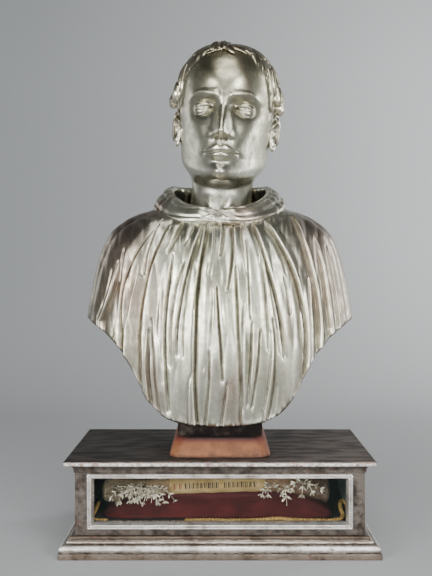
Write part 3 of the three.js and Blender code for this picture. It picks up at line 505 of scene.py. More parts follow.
# Tiers of hair: ring, first turn, last turn, count, fall in rings, half width, height, curl
HAIR_TIERS = [
    (15.3, 1.9, 4.4, 7, 1.5, 8, 2.2, 0.25), (14.4, 1.5, 4.8, 12, 1.5, 8.5, 2.8, -0.14),
    (13.5, 1.55, 4.75, 15, 1.6, 8.5, 4.5, 0.14), (12.6, 1.5, 4.8, 18, 1.6, 8.5, 6.0, -0.15),
    (11.8, 2.0, 4.3, 14, 1.7, 8.5, 6.5, 0.15), (11.0, 1.97, 4.33, 14, 1.9, 8.5, 6.5, -0.15),
    (10.1, 1.95, 4.35, 14, 2.0, 8.5, 6.0, 0.15), (9.2, 2.0, 4.28, 13, 1.9, 8.5, 5.5, -0.14),
    # Temples, then thick tufts over the ears, one side and the other
    (13.1, 1.08, 1.5, 4, 1.9, 6.0, 4.5, 0.16), (13.1, 4.8, 5.2, 4, 1.9, 6.0, 4.5, -0.16),
    (12.0, 1.28, 1.95, 6, 1.4, 6.5, 11.5, 0.25), (12.0, 4.33, 5.0, 6, 1.4, 6.5, 11.5, -0.25),
    (11.4, 1.32, 1.66, 4, 1.4, 5.5, 14.5, 0.35), (11.4, 4.62, 4.96, 4, 1.4, 5.5, 14.5, -0.35),
    (11.2, 1.24, 1.44, 2, 1.3, 5.0, 4.5, 0.1), (11.2, 4.84, 5.04, 2, 1.3, 5.0, 4.5, -0.1),
    # Thin strands combed back and aside from the forehead, and a small forelock
    (14.35, 0.12, 1.1, 8, 0.75, 5.5, 2.2, 0.3), (14.35, 5.18, 6.16, 8, 0.75, 5.5, 2.2, -0.3),
    (15.1, 0.2, 1.3, 6, 1.0, 7.0, 2.0, 0.35), (15.1, 4.98, 6.08, 6, 1.0, 7.0, 2.0, -0.35),
    (14.95, -0.62, -0.16, 5, 1.5, 4.6, 5.0, 0.35),
]


def lock_groups():
    """Every third lock of a tier makes one group, so that none touch in it."""
    for number, (ring, first, last, count, fall, width, height, curl) in enumerate(HAIR_TIERS):
        k = np.arange(count)
        r1, r2, r3 = scatter(k, number), scatter(k, number + 0.37), scatter(k, number + 0.71)
        pitch = (last - first) / max(count - 1, 1)
        table = np.stack([
            first + pitch * (k + 0.3 * (r1 - 0.5)), ring + 0.2 * (r2 - 0.5), fall * (0.85 + 0.3 * r3),
            width * (0.85 + 0.25 * r1), height * (0.85 + 0.3 * r2), curl * (0.6 + 0.9 * r3), r1,
        ], -1)
        bodies = locks(table)
        for first_one in range(min(3, count)):
            yield gather(bodies[first_one::3])


# Rim and bowl of the ear, from its middle out and round behind: share outwards, height over its plane
EAR_SECTION = np.array([
    [0, -7.5], [0.25, -7.8], [0.42, -5.5], [0.52, -0.5], [0.6, 1.4], [0.68, 0.9], [0.76, -0.6], [0.83, -0.3],
    [0.9, 2.2], [0.96, 3], [1.01, 2], [1.03, 0], [1, -2], [0.9, -4], [0.72, -8], [0.55, -13], [0.3, -18], [0.02, -19],
])
EAR_PLACE = 79.5, 10, 93
EAR_HALF_WIDTH, EAR_HALF_HEIGHT = 15.5, 31


def ear(side, around=56, rows=44):
    """A dished oval with a rolled rim, an inner fold, a lobe and a small flap; one ear of the two."""
    t = np.linspace(0, 1, rows)
    k = np.linspace(0, 1, len(EAR_SECTION))
    kernel = np.array([1, 2, 3, 2, 1]) / 9
    share, height = (np.interp(t, k, EAR_SECTION[:, i]) for i in (0, 1))
    for line in (share, height):
        line[2:-2] = np.convolve(line, kernel, "same")[2:-2]
    turn, share = np.meshgrid(np.linspace(0, FULL_TURN, around, endpoint=False), np.maximum(share, 0.02))
    s, c = np.sin(turn), np.cos(turn)
    face = np.arange(rows)[:, None] < rows * 0.64
    rim, lobe, front = smooth(0.75, 0.9, share), smooth(0.55, 0.95, -s), smooth(0.2, 0.9, -c)
    change = 2.2 * lobe * (1 - smooth(0.85, 1, share)) * smooth(0.45, 0.7, share) - 2.2 * rim * lobe
    change += 5 * hill(c * share, -0.62, 0.2) * hill(s * share, -0.12, 0.18)
    change += 5 * smooth(0.1, 0.5, s * share) * (1 - smooth(0.55, 0.75, share))
    change -= 2.5 * front * rim * (1 - smooth(0.2, 0.8, s))
    height = height[:, None] + change * face
    across = share * ((EAR_HALF_WIDTH + 3.6 * s - 1.2 * np.abs(s) ** 3) * c + 2 * smooth(0, 1, s) - 1.5 * lobe)
    up = share * EAR_HALF_HEIGHT * s
    ways = np.array([[side * 0.475, 0.88, 0], [0, 0.17, 0.985], [side * 0.88, -0.475, 0]])
    grid = [side, 1, 1] * np.array(EAR_PLACE) + np.stack([across, up, height], -1) @ ways
    return pointed(grid)


def placed_head(points):
    """Turns and leans the head, and sets it on the shoulders."""
    lean, turn = HEAD_LEAN, HEAD_TURN
    yaw = np.array([[math.cos(turn), -math.sin(turn), 0], [math.sin(turn), math.cos(turn), 0], [0, 0, 1]])
    roll = np.array([[math.cos(lean), 0, math.sin(lean)], [0, 1, 0], [-math.sin(lean), 0, math.cos(lean)]])
    return points @ (roll @ yaw).T + HEAD_PLACE


def carved_head():
    """The plain head on a grid that is finer over the face, with the face and the mass of hair laid on."""
    columns = spaced(301, lambda t: 1 + 1.7 * (1 - smooth(0.55, 1.2, np.abs(t))), -math.pi, math.pi)[:-1]
    rows = spaced(226, lambda r: 1 + 1.3 * smooth(3.5, 5, r) * (1 - smooth(11.6, 13, r)), 0, TOP_RING)
    turn, ring = np.meshgrid(columns, rows)
    plain = head_surface(turn, ring)
    points = with_face(plain, turn)
    rise = smooth(140, 215, plain[..., 2])
    out = unit((plain - np.array([0, 5, 110])) * np.stack([np.ones_like(rise), np.ones_like(rise), rise], -1))
    points = points + out * hair_cap(turn, ring, plain)[..., None]
    crown = points[-1].mean(0)
    return lofted(points, [0, 0, -84], crown)


# ---------------------------------------------------------------- cloak and collar
# Rings of the cloak from the neck down: ring, half width, front and back depth, then the height of
# the front, side and back over the bust's base
CLOAK_RINGS = np.array([
    [0, 84, 74, 64, 310, 336, 355], [1, 112, 88, 80, 301, 329, 344], [2, 144, 101, 92, 283, 317, 324],
    [3, 174, 109, 100, 259, 293, 296], [4, 191, 113, 104, 226, 257, 260], [5, 201, 115, 104, 191, 218, 220],
    [6, 210, 116, 102, 153, 168, 170], [7, 215, 114, 98, 108, 115, 115], [8, 217, 108, 89, 58, 60, 60],
    [9, 218, 99, 78, 6, 6, 6], [10, 218, 93, 66, -40, -40, -40],
], float)
CLOAK_SQUARENESS = 2.25
# Half x and height of the line that the cloak is cut along
CUT_LINE = np.array([
    [0, 0], [30, 1], [52, 3.5], [73, 9], [92, 21], [108, 39], [120, 60], [133, 87], [148, 110], [168, 132],
    [190, 148], [214, 160],
], float)
CUT_REACH = CUT_LINE[-1, 0]
# Folds of the front: x and height at the top, the middle and the foot, depth, width,
# 1 for a closed end, and the side of the sharp ridge beside it
FRONT_FOLDS = [
    (-154, 249, -163, 204, -180, 156, 9, 4.5, 0, -1), (-87, 312, -129, 252, -149, 139, 12, 6.5, 0, 1),
    (-123, 241, -133, 193, -146, 135, 3, 2.2, 0, 1), (-91, 301, -106, 268, -116, 226, 7, 4.5, 1, 1),
    (-73, 308, -106, 231, -120, 122, 10, 6, 0, 1), (-55, 308, -67, 283, -78, 259, 8, 4, 1, -1),
    (-38, 303, -45, 285, -54, 271, 4, 3, 1, -1), (-24, 302, -53, 212, -63, 104, 7, 3.4, 1, -1),
    (-31, 278, -48, 212, -55, 104, 4, 2.6, 1, 1), (-19, 303, -34, 183, -33, -6, 11, 4.6, 0, -1),
    (-31, 240, -40, 146, -41, 14, 4, 2.4, 0, -1), (5, 305, 4, 278, 0, 253, 8, 3.6, 1, -1),
    (17, 303, 19, 256, 11, 202, 8, 3.6, 1, 1), (-4, 210, -1, 139, 4, 66, 9, 3.6, 1, -1),
    (22, 240, 28, 139, 30, -6, 7, 4.5, 0, 1), (35, 190, 33, 116, 33, 23, 4, 2.4, 1, 1),
    (47, 305, 74, 227, 95, 101, 9, 4, 1, 1), (61, 255, 69, 190, 71, 113, 5, 2.8, 1, 1),
    (68, 237, 80, 182, 90, 108, 5, 3, 1, -1), (77, 163, 82, 94, 66, -6, 8, 4.2, 0, -1),
    (74, 146, 74, 86, 64, 23, 4, 2.6, 0, 1), (68, 307, 103, 243, 126, 89, 10, 4.6, 0, 1),
    (119, 195, 123, 145, 128, 100, 3, 2.2, 1, 1), (110, 318, 130, 264, 149, 144, 8, 5, 0, 1),
    (134, 226, 136, 171, 137, 114, 5, 4, 0, -1), (146, 284, 155, 237, 168, 146, 8, 5.5, 0, 1),
    (164, 271, 172, 219, 180, 157, 4, 4, 0, 1), (-106, 146, -107, 97, -103, 40, 8, 3.6, 0, -1),
    (-101, 163, -99, 93, -90, 15, 7, 4.5, 0, 1), (-70, 258, -80, 175, -76, 19, 8, 3.8, 1, -1),
    (-86, 204, -86, 131, -83, 65, 3, 2.4, 1, -1), (-53, 246, -68, 190, -74, 89, 6, 4.5, 1, 1),
    (-17, 117, -17, 64, -24, -6, 6, 4, 0, 1), (10, 69, 6, 38, 0, -6, 6, 4, 0, 1),
    (47, 159, 46, 110, 40, 29, 6, 3.6, 1, 1), (59, 146, 56, 98, 48, 26, 6, 3.8, 1, -1),
    (40, 281, 42, 212, 47, 158, 5, 3, 1, -1), (95, 225, 101, 196, 105, 166, 4, 4, 1, 1),
    (30, 300, 34, 264, 40, 225, 4, 3, 1, 1), (-9, 300, -10, 263, -18, 225, 4, 4, 1, -1),
    (-12, 207, -13, 161, -16, 117, 4, 3.5, 1, 1), (-41, 84, -50, 44, -48, -6, 3, 4, 0, 1),
    (86, 65, 83, 43, 81, 22, 2.5, 5, 0, 1), (-146, 267, -150, 246, -155, 213, 4, 3.5, 1, 1),
    (-165, 237, -173, 203, -188, 163, 4, 4, 0, 1),
]


def cut_height(x):
    """Height of the cut line at a place aside, flat beyond its end."""
    return BUST_LOW[2] + spline(CUT_LINE, 1, np.minimum(np.abs(x), CUT_REACH))


def cloak_surface(turn, ring):
    """The cloak without folds: squarish rings, deeper in front, whose edge dips from back to front."""
    half, front, back, front_z, side_z, back_z = (spline(CLOAK_RINGS, i, ring) for i in range(1, 7))
    s, c = np.sin(turn), np.cos(turn)
    r = (np.abs(s) ** CLOAK_SQUARENESS + np.abs(c) ** CLOAK_SQUARENESS) ** (-1 / CLOAK_SQUARENESS)
    y = -np.where(c > 0, front, back) * c * r
    z = side_z + (np.where(c > 0, front_z, back_z) - side_z) * c * c
    return np.stack([half * s * r, y, z + BUST_LOW[2]], -1)


def front_folds(x, z):
    """Knife pleats along parabolas through three places: a narrow groove, a crest beside it that falls away
    in a plane, a long slope on the other side; each wavers a little, widens downwards and fades at its ends."""
    h = np.zeros_like(x)
    for k, (x0, z0, x1, z1, x2, z2, depth, width, closed, side) in enumerate(FRONT_FOLDS):
        length = z0 - z2
        fall = (z0 - z) / length
        along = np.clip(fall, 0, 1)
        at = z0 - along * length
        line = (x0 * (at - z1) * (at - z2) / ((z0 - z1) * (z0 - z2))
                + x1 * (at - z0) * (at - z2) / ((z1 - z0) * (z1 - z2))
                + x2 * (at - z0) * (at - z1) / ((z2 - z0) * (z2 - z1)))
        line += 0.6 * np.sin(z * 0.04 + 1.7 * k) + 0.15 * np.sin(z * 0.11 + k)
        past = np.maximum(z2 - z if closed else 0 * z, np.maximum(z - z0, 0))
        s = (x - line) * side
        wide = width * (0.75 + 0.4 * along)
        fine = np.maximum(0.3 * wide, 0.95)
        away = np.sqrt(s**2 + (0.6 * past) ** 2 + 0.6**2) - 0.6
        soft_top = 0.5 + 0.5 * smooth(5, 70, z0 - z) if z0 > 290 else 1
        line_ends = soft_top * smooth(-3, 6, z0 - z) * (smooth(-1, 5, z - z2) if closed else 1)
        plane_ends = smooth(-3, 9 if z0 > 290 else 45, z0 - z) * (smooth(-2, 45, z - z2) if closed else 1)
        plane = 1 - away / (wide * np.where(s > 0, 0.4, 3.2))
        beyond = 1 - np.maximum(s / wide - 0.8, 0) / 3.0
        crest = smooth(0.1, 0.8, s / wide) * (beyond + np.sqrt(beyond**2 + 0.01))
        h -= 0.45 * depth * line_ends * np.exp(-away / fine)
        h += 0.17 * depth * plane_ends * (crest - plane - np.sqrt(plane**2 + 0.01))
    return h


def soft_folds(turn, ring):
    """Broad round folds of the sides and back, running down from the collar."""
    back = smooth(0.05, 0.5, -np.cos(turn))
    side = smooth(0.8, 0.97, np.abs(np.sin(turn))) * (1 - back)
    down = smooth(0.4, 2.5, ring)
    broad = ridges(turn * 6.5 + 0.5 * np.sin(ring * 0.9 + turn * 3)) - 0.6
    narrow = ridges(turn * 9 + 0.35 * ring, 0.8) - 0.6
    return down * (7.5 * back * broad + 3 * side * narrow)


def fine_folds(x, z):
    """Small folds between the main ones, and the unevenness of hand carving."""
    first = ridges(x * 0.155 + 1.3 * np.sin(z * 0.013 + x * 0.01) + 0.6 * np.sin(z * 0.031), 0.8)
    second = ridges(x * 0.31 + 2.1 * np.sin(z * 0.017 + 1) + 0.5 * np.sin(z * 0.05 + 2), 0.8)
    gate = 0.5 + 0.5 * np.sin(z * 0.021 + x * 0.043)
    return 0.8 * (first - 0.6) + 0.45 * gate * (second - 0.6)


def cloak_points(turn, ring):
    """The plain cloak moved outwards, square to its own surface, by the sum of its folds."""
    nudge = 1e-3
    plain = cloak_surface(turn, ring)
    across = cloak_surface(turn + nudge, ring) - plain
    higher = np.maximum(ring, nudge) - nudge
    down = cloak_surface(turn, higher + nudge) - cloak_surface(turn, higher)
    out = unit(np.cross(down, across))
    front = smooth(0, 0.35, np.cos(turn))
    x, z = plain[..., 0], plain[..., 2]
    h = front * front_folds(x, z - BUST_LOW[2]) + soft_folds(turn, ring)
    h = (h + fine_folds(x, z) * (0.35 + 0.65 * front)) * smooth(0, 0.5, ring)
    return plain + out * h[..., None]


def hem_ring(turn):
    """The ring where each column meets the cut line, found by halving."""
    above, below = np.full_like(turn, 3.0), np.full_like(turn, 10.0)
    for _ in range(30):
        middle = (above + below) / 2
        points = cloak_surface(turn, middle)
        over = points[..., 2] > cut_height(points[..., 0])
        above, below = np.where(over, middle, above), np.where(over, below, middle)
    return above


def cloak_body():
    """The cloak down to a little below the cut line, closed by a point inside the collar and one far below."""
    columns = spaced(761, lambda t: 1 + 2.2 * smooth(-0.1, 0.3, np.cos(t)), -math.pi, math.pi)[:-1]
    rings = np.linspace(0, 1, 150)[:, None] * hem_ring(columns)
    grid = cloak_points(np.broadcast_to(columns, rings.shape), rings)
    below_hem, in_collar, far_below = 14, 286, -260
    grid = np.concatenate([grid, grid[-1:] - [0, 0, below_hem]])
    return lofted(grid, [0, 0, BUST_LOW[2] + in_collar], [0, 0, BUST_LOW[2] + far_below])


def space_over_cut():
    """A prism whose lower side is the cut line, to keep what lies above it; it stands clear of the bust."""
    clear, top = 260, 900
    x = np.linspace(0, CUT_REACH, 90)
    half = list(zip(x, cut_height(x))) + [(clear, cut_height(CUT_REACH)), (clear, top)]
    ring = np.array(half + [(-a, b) for a, b in half[:0:-1]])
    count = len(ring)
    points = np.concatenate([np.insert(ring, 1, y, 1) for y in (-clear, clear)])
    i = np.arange(count)
    sides = np.stack([i, i + count, np.roll(i, -1) + count, np.roll(i, -1)], -1).tolist()
    return points, sides + [list(range(count)), list(range(2 * count - 1, count - 1, -1))]


# Collar: half width, depth in front and behind, and height over the bust's base
COLLAR_HALF, COLLAR_FRONT, COLLAR_BACK, COLLAR_HEIGHT = 90, 84, 66, 348


def collar_ring():
    """A soft band standing round the neck, pleated lengthways, gathered at a small notch in front."""
    columns = spaced(521, lambda t: 1 + 2.5 * hill(t, 0, 0.35), -math.pi, math.pi)[:-1]
    turn, section = np.meshgrid(columns, np.linspace(0, FULL_TURN, 61)[:-1])
    s, c = np.sin(turn), np.cos(turn)
    x = (COLLAR_HALF - 2 * c) * s
    back = smooth(0.2, 1, -c)
    notch = np.exp(-np.abs(x + 3) / 12) * (c > 0)
    aside = smooth(0.35, 0.95, np.abs(s)) * (1 - back)
    height = 15 + 3.5 * back + 5.5 * aside - 4 * notch
    lean = np.radians(30 + 13 * aside - 14 * back)
    rounded, upright = signed_power(np.cos(section), 0.85), signed_power(np.sin(section), 0.85)
    outer = smooth(-0.4, 0.3, np.cos(section))
    pleats = 2.2 * (ridges(section * 3.5 + 1.1 * np.sin(turn * 2) + 0.5 * np.sin(turn * 5)) - 0.5)
    pleats += 0.7 * (ridges(section * 7 + 1.7 * np.sin(turn * 2 + 1) + 0.9 * np.sin(turn * 7)) - 0.5)
    pleats = pleats * outer * (1 - 0.6 * notch)
    spread = np.hypot(x + 3, height * upright - 4)
    fan = np.arctan2(height * upright - 4, x + 3)
    gathers = 0.85 * np.cos(fan * 15) * smooth(0, 4, spread) * (1 - smooth(7, 24, spread)) * (c > 0) * outer
    creases = 0.6 * np.sin(turn * 23 + 3 * np.sin(turn * 5) + section)
    out = (8 - 1.5 * notch) * rounded + pleats + gathers + creases
    up = height * upright
    reach = out * np.cos(lean) - up * np.sin(lean)
    z = COLLAR_HEIGHT - 31 * smooth(-0.3, 1, c) + 6 * smooth(0, 1, -c) - 3.5 * notch
    z = z + 4 * aside + up * np.cos(lean) + out * np.sin(lean) + BUST_LOW[2]
    deep = np.where(c > 0, COLLAR_FRONT, COLLAR_BACK)
    grid = np.stack([x + s * reach, -deep * c - c * reach, z], -1)
    return grid.reshape(-1, 3), grid_faces(*grid.shape[:2], wrap_rows=True)


BUST_TRIANGLES = 194000
# How near the cut line a face that looks down has to lie to be raw wood, in mm
NEAR_CUT = 0.35


def carved_bust(silver, raw_wood):
    """Cloak, collar, head, ears and hair joined into one carving, silvered but for the cut underside."""
    piece = make_piece("bust_carving", cloak_body())
    combine(piece, make_piece("above_cut", space_over_cut()), "INTERSECT")
    combine(piece, make_piece("collar", collar_ring()), "UNION")
    head = make_piece("head", carved_head())
    for side in (-1, 1):
        combine(head, make_piece("ear", ear(side)), "UNION")
    for group in lock_groups():
        combine(head, make_piece("locks", group), "UNION")
    head.data.vertices.foreach_set("co", (placed_head(coordinates(head.data)) * MM).ravel())
    head.data.update()
    combine(piece, head, "UNION")
    mark_hollows(piece.data, 6, 1.5)
    thin_out(piece, BUST_TRIANGLES)
    mesh = piece.data
    points = coordinates(mesh)
    mark(mesh, "over_cut", points[:, 2] - cut_height(points[:, 0]))
    under = np.array([
        abs(p.center.z / MM - float(cut_height(p.center.x / MM))) < NEAR_CUT and p.normal.z < 0 for p in mesh.polygons
    ])
    mesh.materials.clear()
    for material in (silver, raw_wood):
        mesh.materials.append(material)
    mesh.polygons.foreach_set("material_index", under.astype(np.int32))
    mesh.polygons.foreach_set("use_smooth", ~under)
    dress(piece, "silver_leaf", "bust")


# ---------------------------------------------------------------- case, foot and block
def run_length(line):
    """How far along a polyline each of its points lies."""
    return np.concatenate([[0], np.cumsum(np.linalg.norm(np.diff(line, axis=0), axis=1))])


def points_at(places, length, line):
    """Points of a polyline at those places along it."""
    return np.stack([np.interp(places, length, column) for column in line.T], -1)


def softened(line, step, rounds, closed=False):
    """A polyline at an even step, each point then averaged with its neighbours to round the corners."""
    line = np.array(line, float)
    if closed:
        line = np.concatenate([line, line[:1]])
    length = run_length(line)
    line = points_at(np.linspace(0, length[-1], int(length[-1] / step) + 2), length, line)
    if closed:
        line = line[:-1]
    for _ in range(rounds):
        settled = 0.25 * np.roll(line, 1, 0) + 0.5 * line + 0.25 * np.roll(line, -1, 0)
        if not closed:
            settled[[0, -1]] = line[[0, -1]]
        line = settled
    return line


def capped(grid):
    """Points and faces of rings joined in order, with one flat face over either end."""
    rows, columns = grid.shape[:2]
    points, faces = lofted(grid)
    first = list(range(columns - 1, -1, -1))
    return points, faces + [first, [i + (rows - 1) * columns for i in range(columns)]]


def rectangle(across, deep):
    """Places round a rectangle from its front left corner, as shares of its half sizes."""
    a = np.linspace(-1, 1, across, endpoint=False)
    d = np.linspace(-1, 1, deep, endpoint=False)
    sides = [(a, -np.ones(across)), (np.ones(deep), d), (-a, np.ones(across)), (-np.ones(deep), -d)]
    return np.concatenate([np.stack(side, -1) for side in sides])


def moulded_slab(name, profile, material, slot, stands_for, wear, salt):
    """A solid slab: a profile of reach and height goes round the case, worn in and out by a soft ripple."""
    line = softened(profile, 0.7, 2)
    share = rectangle(170, 76)
    level = np.broadcast_to(share * np.array([HALF_X, HALF_Y]), (len(line), len(share), 2))
    reach, height = line[:, 0, None, None], np.broadcast_to(line[:, 1, None, None], level.shape[:2] + (1,))
    grid = np.concatenate([level + reach * share, height], -1)
    number = np.arange(len(line))
    inner = smooth(0, 2, np.minimum(number, number[::-1]))[:, None]
    push = wear * ripple(grid, 38, salt) + 0.5 * wear * ripple(grid, 11, salt + 1)
    grid[..., :2] += share * (push * inner)[..., None]
    grid[..., 2] += 0.4 * wear * inner * ripple(grid, 60, salt + 2)
    make_piece(name, capped(grid), [material], slot, stands_for, closed=False)


def strip(name, section, ends, material, slot, wear, salt):
    """A mitred strip in place of one CAD strip: its section goes in even steps from one end to the other, worn."""
    line = softened(section, 0.6, 1, closed=True)
    start, end = (np.stack([way(u, v) for u, v in line]) for way in ends)
    count = int(np.linalg.norm(end[0] - start[0]) / 3) + 2
    t = np.linspace(0, 1, count)[:, None, None]
    grid = start * (1 - t) + end * t
    push = wear * ripple(grid, 30, salt) + 0.6 * wear * ripple(grid, 9, salt + 1)
    middle = grid.mean(1, keepdims=True)
    along = unit(end[0] - start[0])
    away = unit(grid - middle)
    away -= (away @ along)[..., None] * along
    grid = grid + away * push[..., None]
    make_piece(f"dressed_{name}", capped(grid), [material], slot, [name])


COVE_REACH, COVE_HEIGHT = 6.0, 11.5
WINDOW_X, WINDOW_LOW, WINDOW_HIGH = HALF_X - 20, PLINTH_HIGH[2] + 10.5, LID_LOW[2] - 15.5


def case_mouldings(boards, moulded, bright, tarnished):
    """Stepped plinth, lid, the cove under it, and the double-ridged bead round the pane."""
    top = PLINTH_HIGH[2]
    reach = PLINTH_HIGH[0] - HALF_X
    ovolo = np.radians(np.linspace(-48, 78, 12))
    plinth = [(reach, 0), (reach, 0.3 * top)] + [
        (reach * 0.55 + 8.6 * math.cos(a), 0.3 * top + 5 + 6.6 * math.sin(a)) for a in ovolo
    ] + [
        (reach * 0.52, top * 0.7), (reach * 0.52, top * 0.79), (reach * 0.34, top * 0.8), (reach * 0.3, top * 0.85),
        (reach * 0.33, top * 0.93), (reach * 0.26, top * 0.99), (reach * 0.1, top),
    ]
    moulded_slab("stepped_plinth", plinth, moulded, "worn_silver", ["base_plinth"], 0.28, 1.0)
    out = LID_HIGH[0] - HALF_X
    lid = [(out - 4, LID_LOW[2]), (out - 1.2, LID_LOW[2]), (out, LID_LOW[2] + 1.2), (out, LID_HIGH[2] - 1.4),
           (out - 1.4, LID_HIGH[2]), (out - 6, LID_HIGH[2])]
    moulded_slab("case_lid", lid, tarnished, "tarnished_silver", ["lid"], 0.25, 4.0)
    hollow = np.radians(np.linspace(8, 90, 10))
    cove = [(0, 0), (COVE_REACH, 0), (COVE_REACH, -1.5)] + [
        (COVE_REACH - (COVE_REACH - 1.5) * math.sin(a), -1.5 - (COVE_HEIGHT - 3) * (1 - math.cos(a))) for a in hollow
    ] + [(1.5, -COVE_HEIGHT), (0, -COVE_HEIGHT)]
    corners = [(-1, -1), (1, -1), (1, 1), (-1, 1)]

    def cove_end(sx, sy):
        """Mitre at a corner of the case: a section's reach and height to a place."""
        return lambda u, v: np.array([sx * (HALF_X + u), sy * (HALF_Y + u), LID_LOW[2] + v])

    for i, side in enumerate(("front", "right", "back", "left")):
        ends = (cove_end(*corners[i]), cove_end(*corners[(i + 1) % 4]))
        strip(f"cove_{side}", cove, ends, boards, "worn_silver", 0.15, 7.0 + i)
    bead = [(-2, 0), (-2, 2.4), (-1.2, 3.7), (-0.2, 4), (0.9, 3.5), (1.6, 1.3), (2.2, 0.7), (2.7, 2.2), (3.5, 3.0),
            (4.5, 2.3), (5, 0.8), (5.6, -0.8), (7, -4), (7, -11.7), (0.3, -11.7), (0.3, 0)]

    def bead_end(sign, z, inward):
        """Mitre at a corner of the window: a section's way inwards and height to a place."""
        return lambda u, v: np.array([sign * (WINDOW_X - u), -HALF_Y - v, z + inward * u])

    beads = {
        "bead_top": (bead_end(-1, WINDOW_HIGH, -1), bead_end(1, WINDOW_HIGH, -1)),
        "bead_bottom": (bead_end(-1, WINDOW_LOW, 1), bead_end(1, WINDOW_LOW, 1)),
        "bead_left": (bead_end(-1, WINDOW_LOW, 1), bead_end(-1, WINDOW_HIGH, -1)),
        "bead_right": (bead_end(1, WINDOW_LOW, 1), bead_end(1, WINDOW_HIGH, -1)),
    }
    for i, (name, ends) in enumerate(beads.items()):
        strip(name, bead, ends, bright, "bright_silver", 0.12, 12.0 + i)


# Foot: how far its corners are cut off in mm, and the most points in a ring
FOOT_CORNER, FOOT_RING_POINTS = 13, 278


def foot_piece(material):
    """Rings of a rectangle with chamfered corners that draws in upwards, its arrises worn round."""
    half_x, half_y = (FOOT_HIGH - FOOT_LOW)[:2] / 2
    middle = (FOOT_HIGH + FOOT_LOW)[:2] / 2
    low, high = FOOT_LOW[2], FOOT_HIGH[2]
    side = softened([(1, low), (0, low + 1.6), (5.5, low + 0.62 * (high - low)), (9.9, high - 2), (12, high)], 0.7, 2)
    rings = []
    for inset, z in side:
        x, y, c = half_x - inset, half_y - inset, FOOT_CORNER * (1 - inset / 150)
        outline = [(c - x, -y), (x - c, -y), (x, c - y), (x, y - c), (x - c, y), (c - x, y), (-x, y - c), (-x, c - y)]
        ring = softened(outline, 2.2, 3, closed=True)[:FOOT_RING_POINTS]
        rings.append(np.column_stack([ring + middle, np.full(len(ring), z)]))
    count = min(len(ring) for ring in rings)
    rings = [ring[np.linspace(0, len(ring), count, endpoint=False).astype(int)] for ring in rings]
    grid = np.stack(rings)
    out = unit((grid - np.append(middle, 0)) * [1, 1, 0])
    chip = np.clip(ripple(grid, 16, 3.3) - 0.75, 0, 1) * 3 * smooth(5, 0.5, np.abs(grid[..., 2] - low - 1))
    grid = grid + out * (0.35 * ripple(grid, 26, 2.0) + 0.12 * ripple(grid, 6, 5.0) - chip)[..., None]
    make_piece("bole_foot", capped(grid), [material], "bole", ["foot"], closed=False)


def block_piece(material):
    """A board whose lower corners are round and whose top follows the cut edge of the cloak."""
    x, r, z, arris = BLOCK_HIGH[0], 7.0, BLOCK_LOW[2], 1.6
    quarter = np.radians(np.linspace(0, 90, 9))
    right = [(x - r + r * math.sin(a), z + r - r * math.cos(a)) for a in quarter]
    right += [(x * t, float(cut_height(x * t)) - 0.3) for t in np.linspace(1, 0.02, 18)]
    outline = softened(right + [(-a, b) for a, b in right[::-1]], 1.2, 2, closed=True)
    depth = BLOCK_HIGH[1] - BLOCK_LOW[1]
    place = np.concatenate([[0, 0.4, 1.1, 2.2], np.linspace(4, depth - 4, 50), depth - np.array([2.2, 1.1, 0.4, 0])])
    inside = np.minimum(place, depth - place)
    draw = arris - np.sqrt(np.maximum(arris**2 - np.maximum(arris - inside, 0) ** 2, 0))
    middle = np.array([0, (BLOCK_LOW[2] + BLOCK_HIGH[2]) / 2])
    ring = outline[None] - unit(outline - middle)[None] * draw[:, None, None]
    grid = np.stack([ring[..., 0], np.broadcast_to(BLOCK_LOW[1] + place[:, None], ring.shape[:2]), ring[..., 1]], -1)
    soft = smooth(0, 3, inside)[:, None, None]
    grid = grid - unit((grid - [0, 0, middle[1]]) * [1, 0, 1]) * (0.3 * soft * (1 + ripple(grid, 18, 8.0))[..., None])
    make_piece("wood_block", capped(grid), [material], "dark_wood", ["block"])


# ---------------------------------------------------------------- relic
# Sections stand square to a path and to this way, which no path takes
NEARLY_UP = np.array([0.05, 0.1, 1.0])


def tubes(paths, radii, sides):
    """Closed tubes along many paths at once: rings square to each path, a pole at both ends."""
    along = unit(np.gradient(paths, axis=1))
    aside = unit(np.cross(along, NEARLY_UP))
    up = np.cross(aside, along)
    turn = np.linspace(0, FULL_TURN, sides, endpoint=False)
    radii = np.broadcast_to(radii, paths.shape[:2])[..., None, None]
    ring = np.cos(turn)[:, None] * aside[:, :, None] + np.sin(turn)[:, None] * up[:, :, None]
    grid = paths[:, :, None] + ring * radii
    return [lofted(body, path[0], path[-1]) for body, path in zip(grid, paths)]


def curve_through(stations, spacing):
    """A smooth path through the stations at an even spacing."""
    stations = np.array(stations, float)
    chord = run_length(stations)
    table = np.column_stack([chord, stations])
    fine = np.stack([spline(table, i, np.linspace(0, chord[-1], 2000)) for i in (1, 2, 3)], -1)
    length = run_length(fine)
    places = np.arange(0, length[-1], spacing)
    return points_at(places, length, fine), places


CORD_DIAMETER, STRAND_RADIUS, STRAND_WINDING, STRAND_PITCH, STRANDS = 4.0, 1.55, 1.7, 9.0, 2
# Routes: share of the cushion's width, cord widths aside, share of its depth, cord widths up from the floor
FRONT_CORD = [
    (0.37, 0, 0, 0), (0.455, 0, 0, 0.12), (0.56, 0, 0, 0), (0.67, 0, 0, 0.25), (0.74, 0, 0, 0.75), (0.8, 0, 0, 0.25),
    (0.9, 0, 0, 0), (1, -5, 0, 0), (1, -1.6, 0.006, 0.5), (1, -0.1, 0.056, 1), (1, 0, 0.19, 1.75), (1, 0.5, 0.31, 2.75),
    (1, 1.4, 0.36, 3.25), (1, 2.4, 0.31, 2.5), (1, 2.5, 0.2, 1),
]
LEFT_CORD = [(0, 6, 0, 0), (0, 2, 0.004, 0), (0, 0, 0.05, 0.25), (0, 0, 0.21, 1), (0, 0, 0.44, 1.5)]


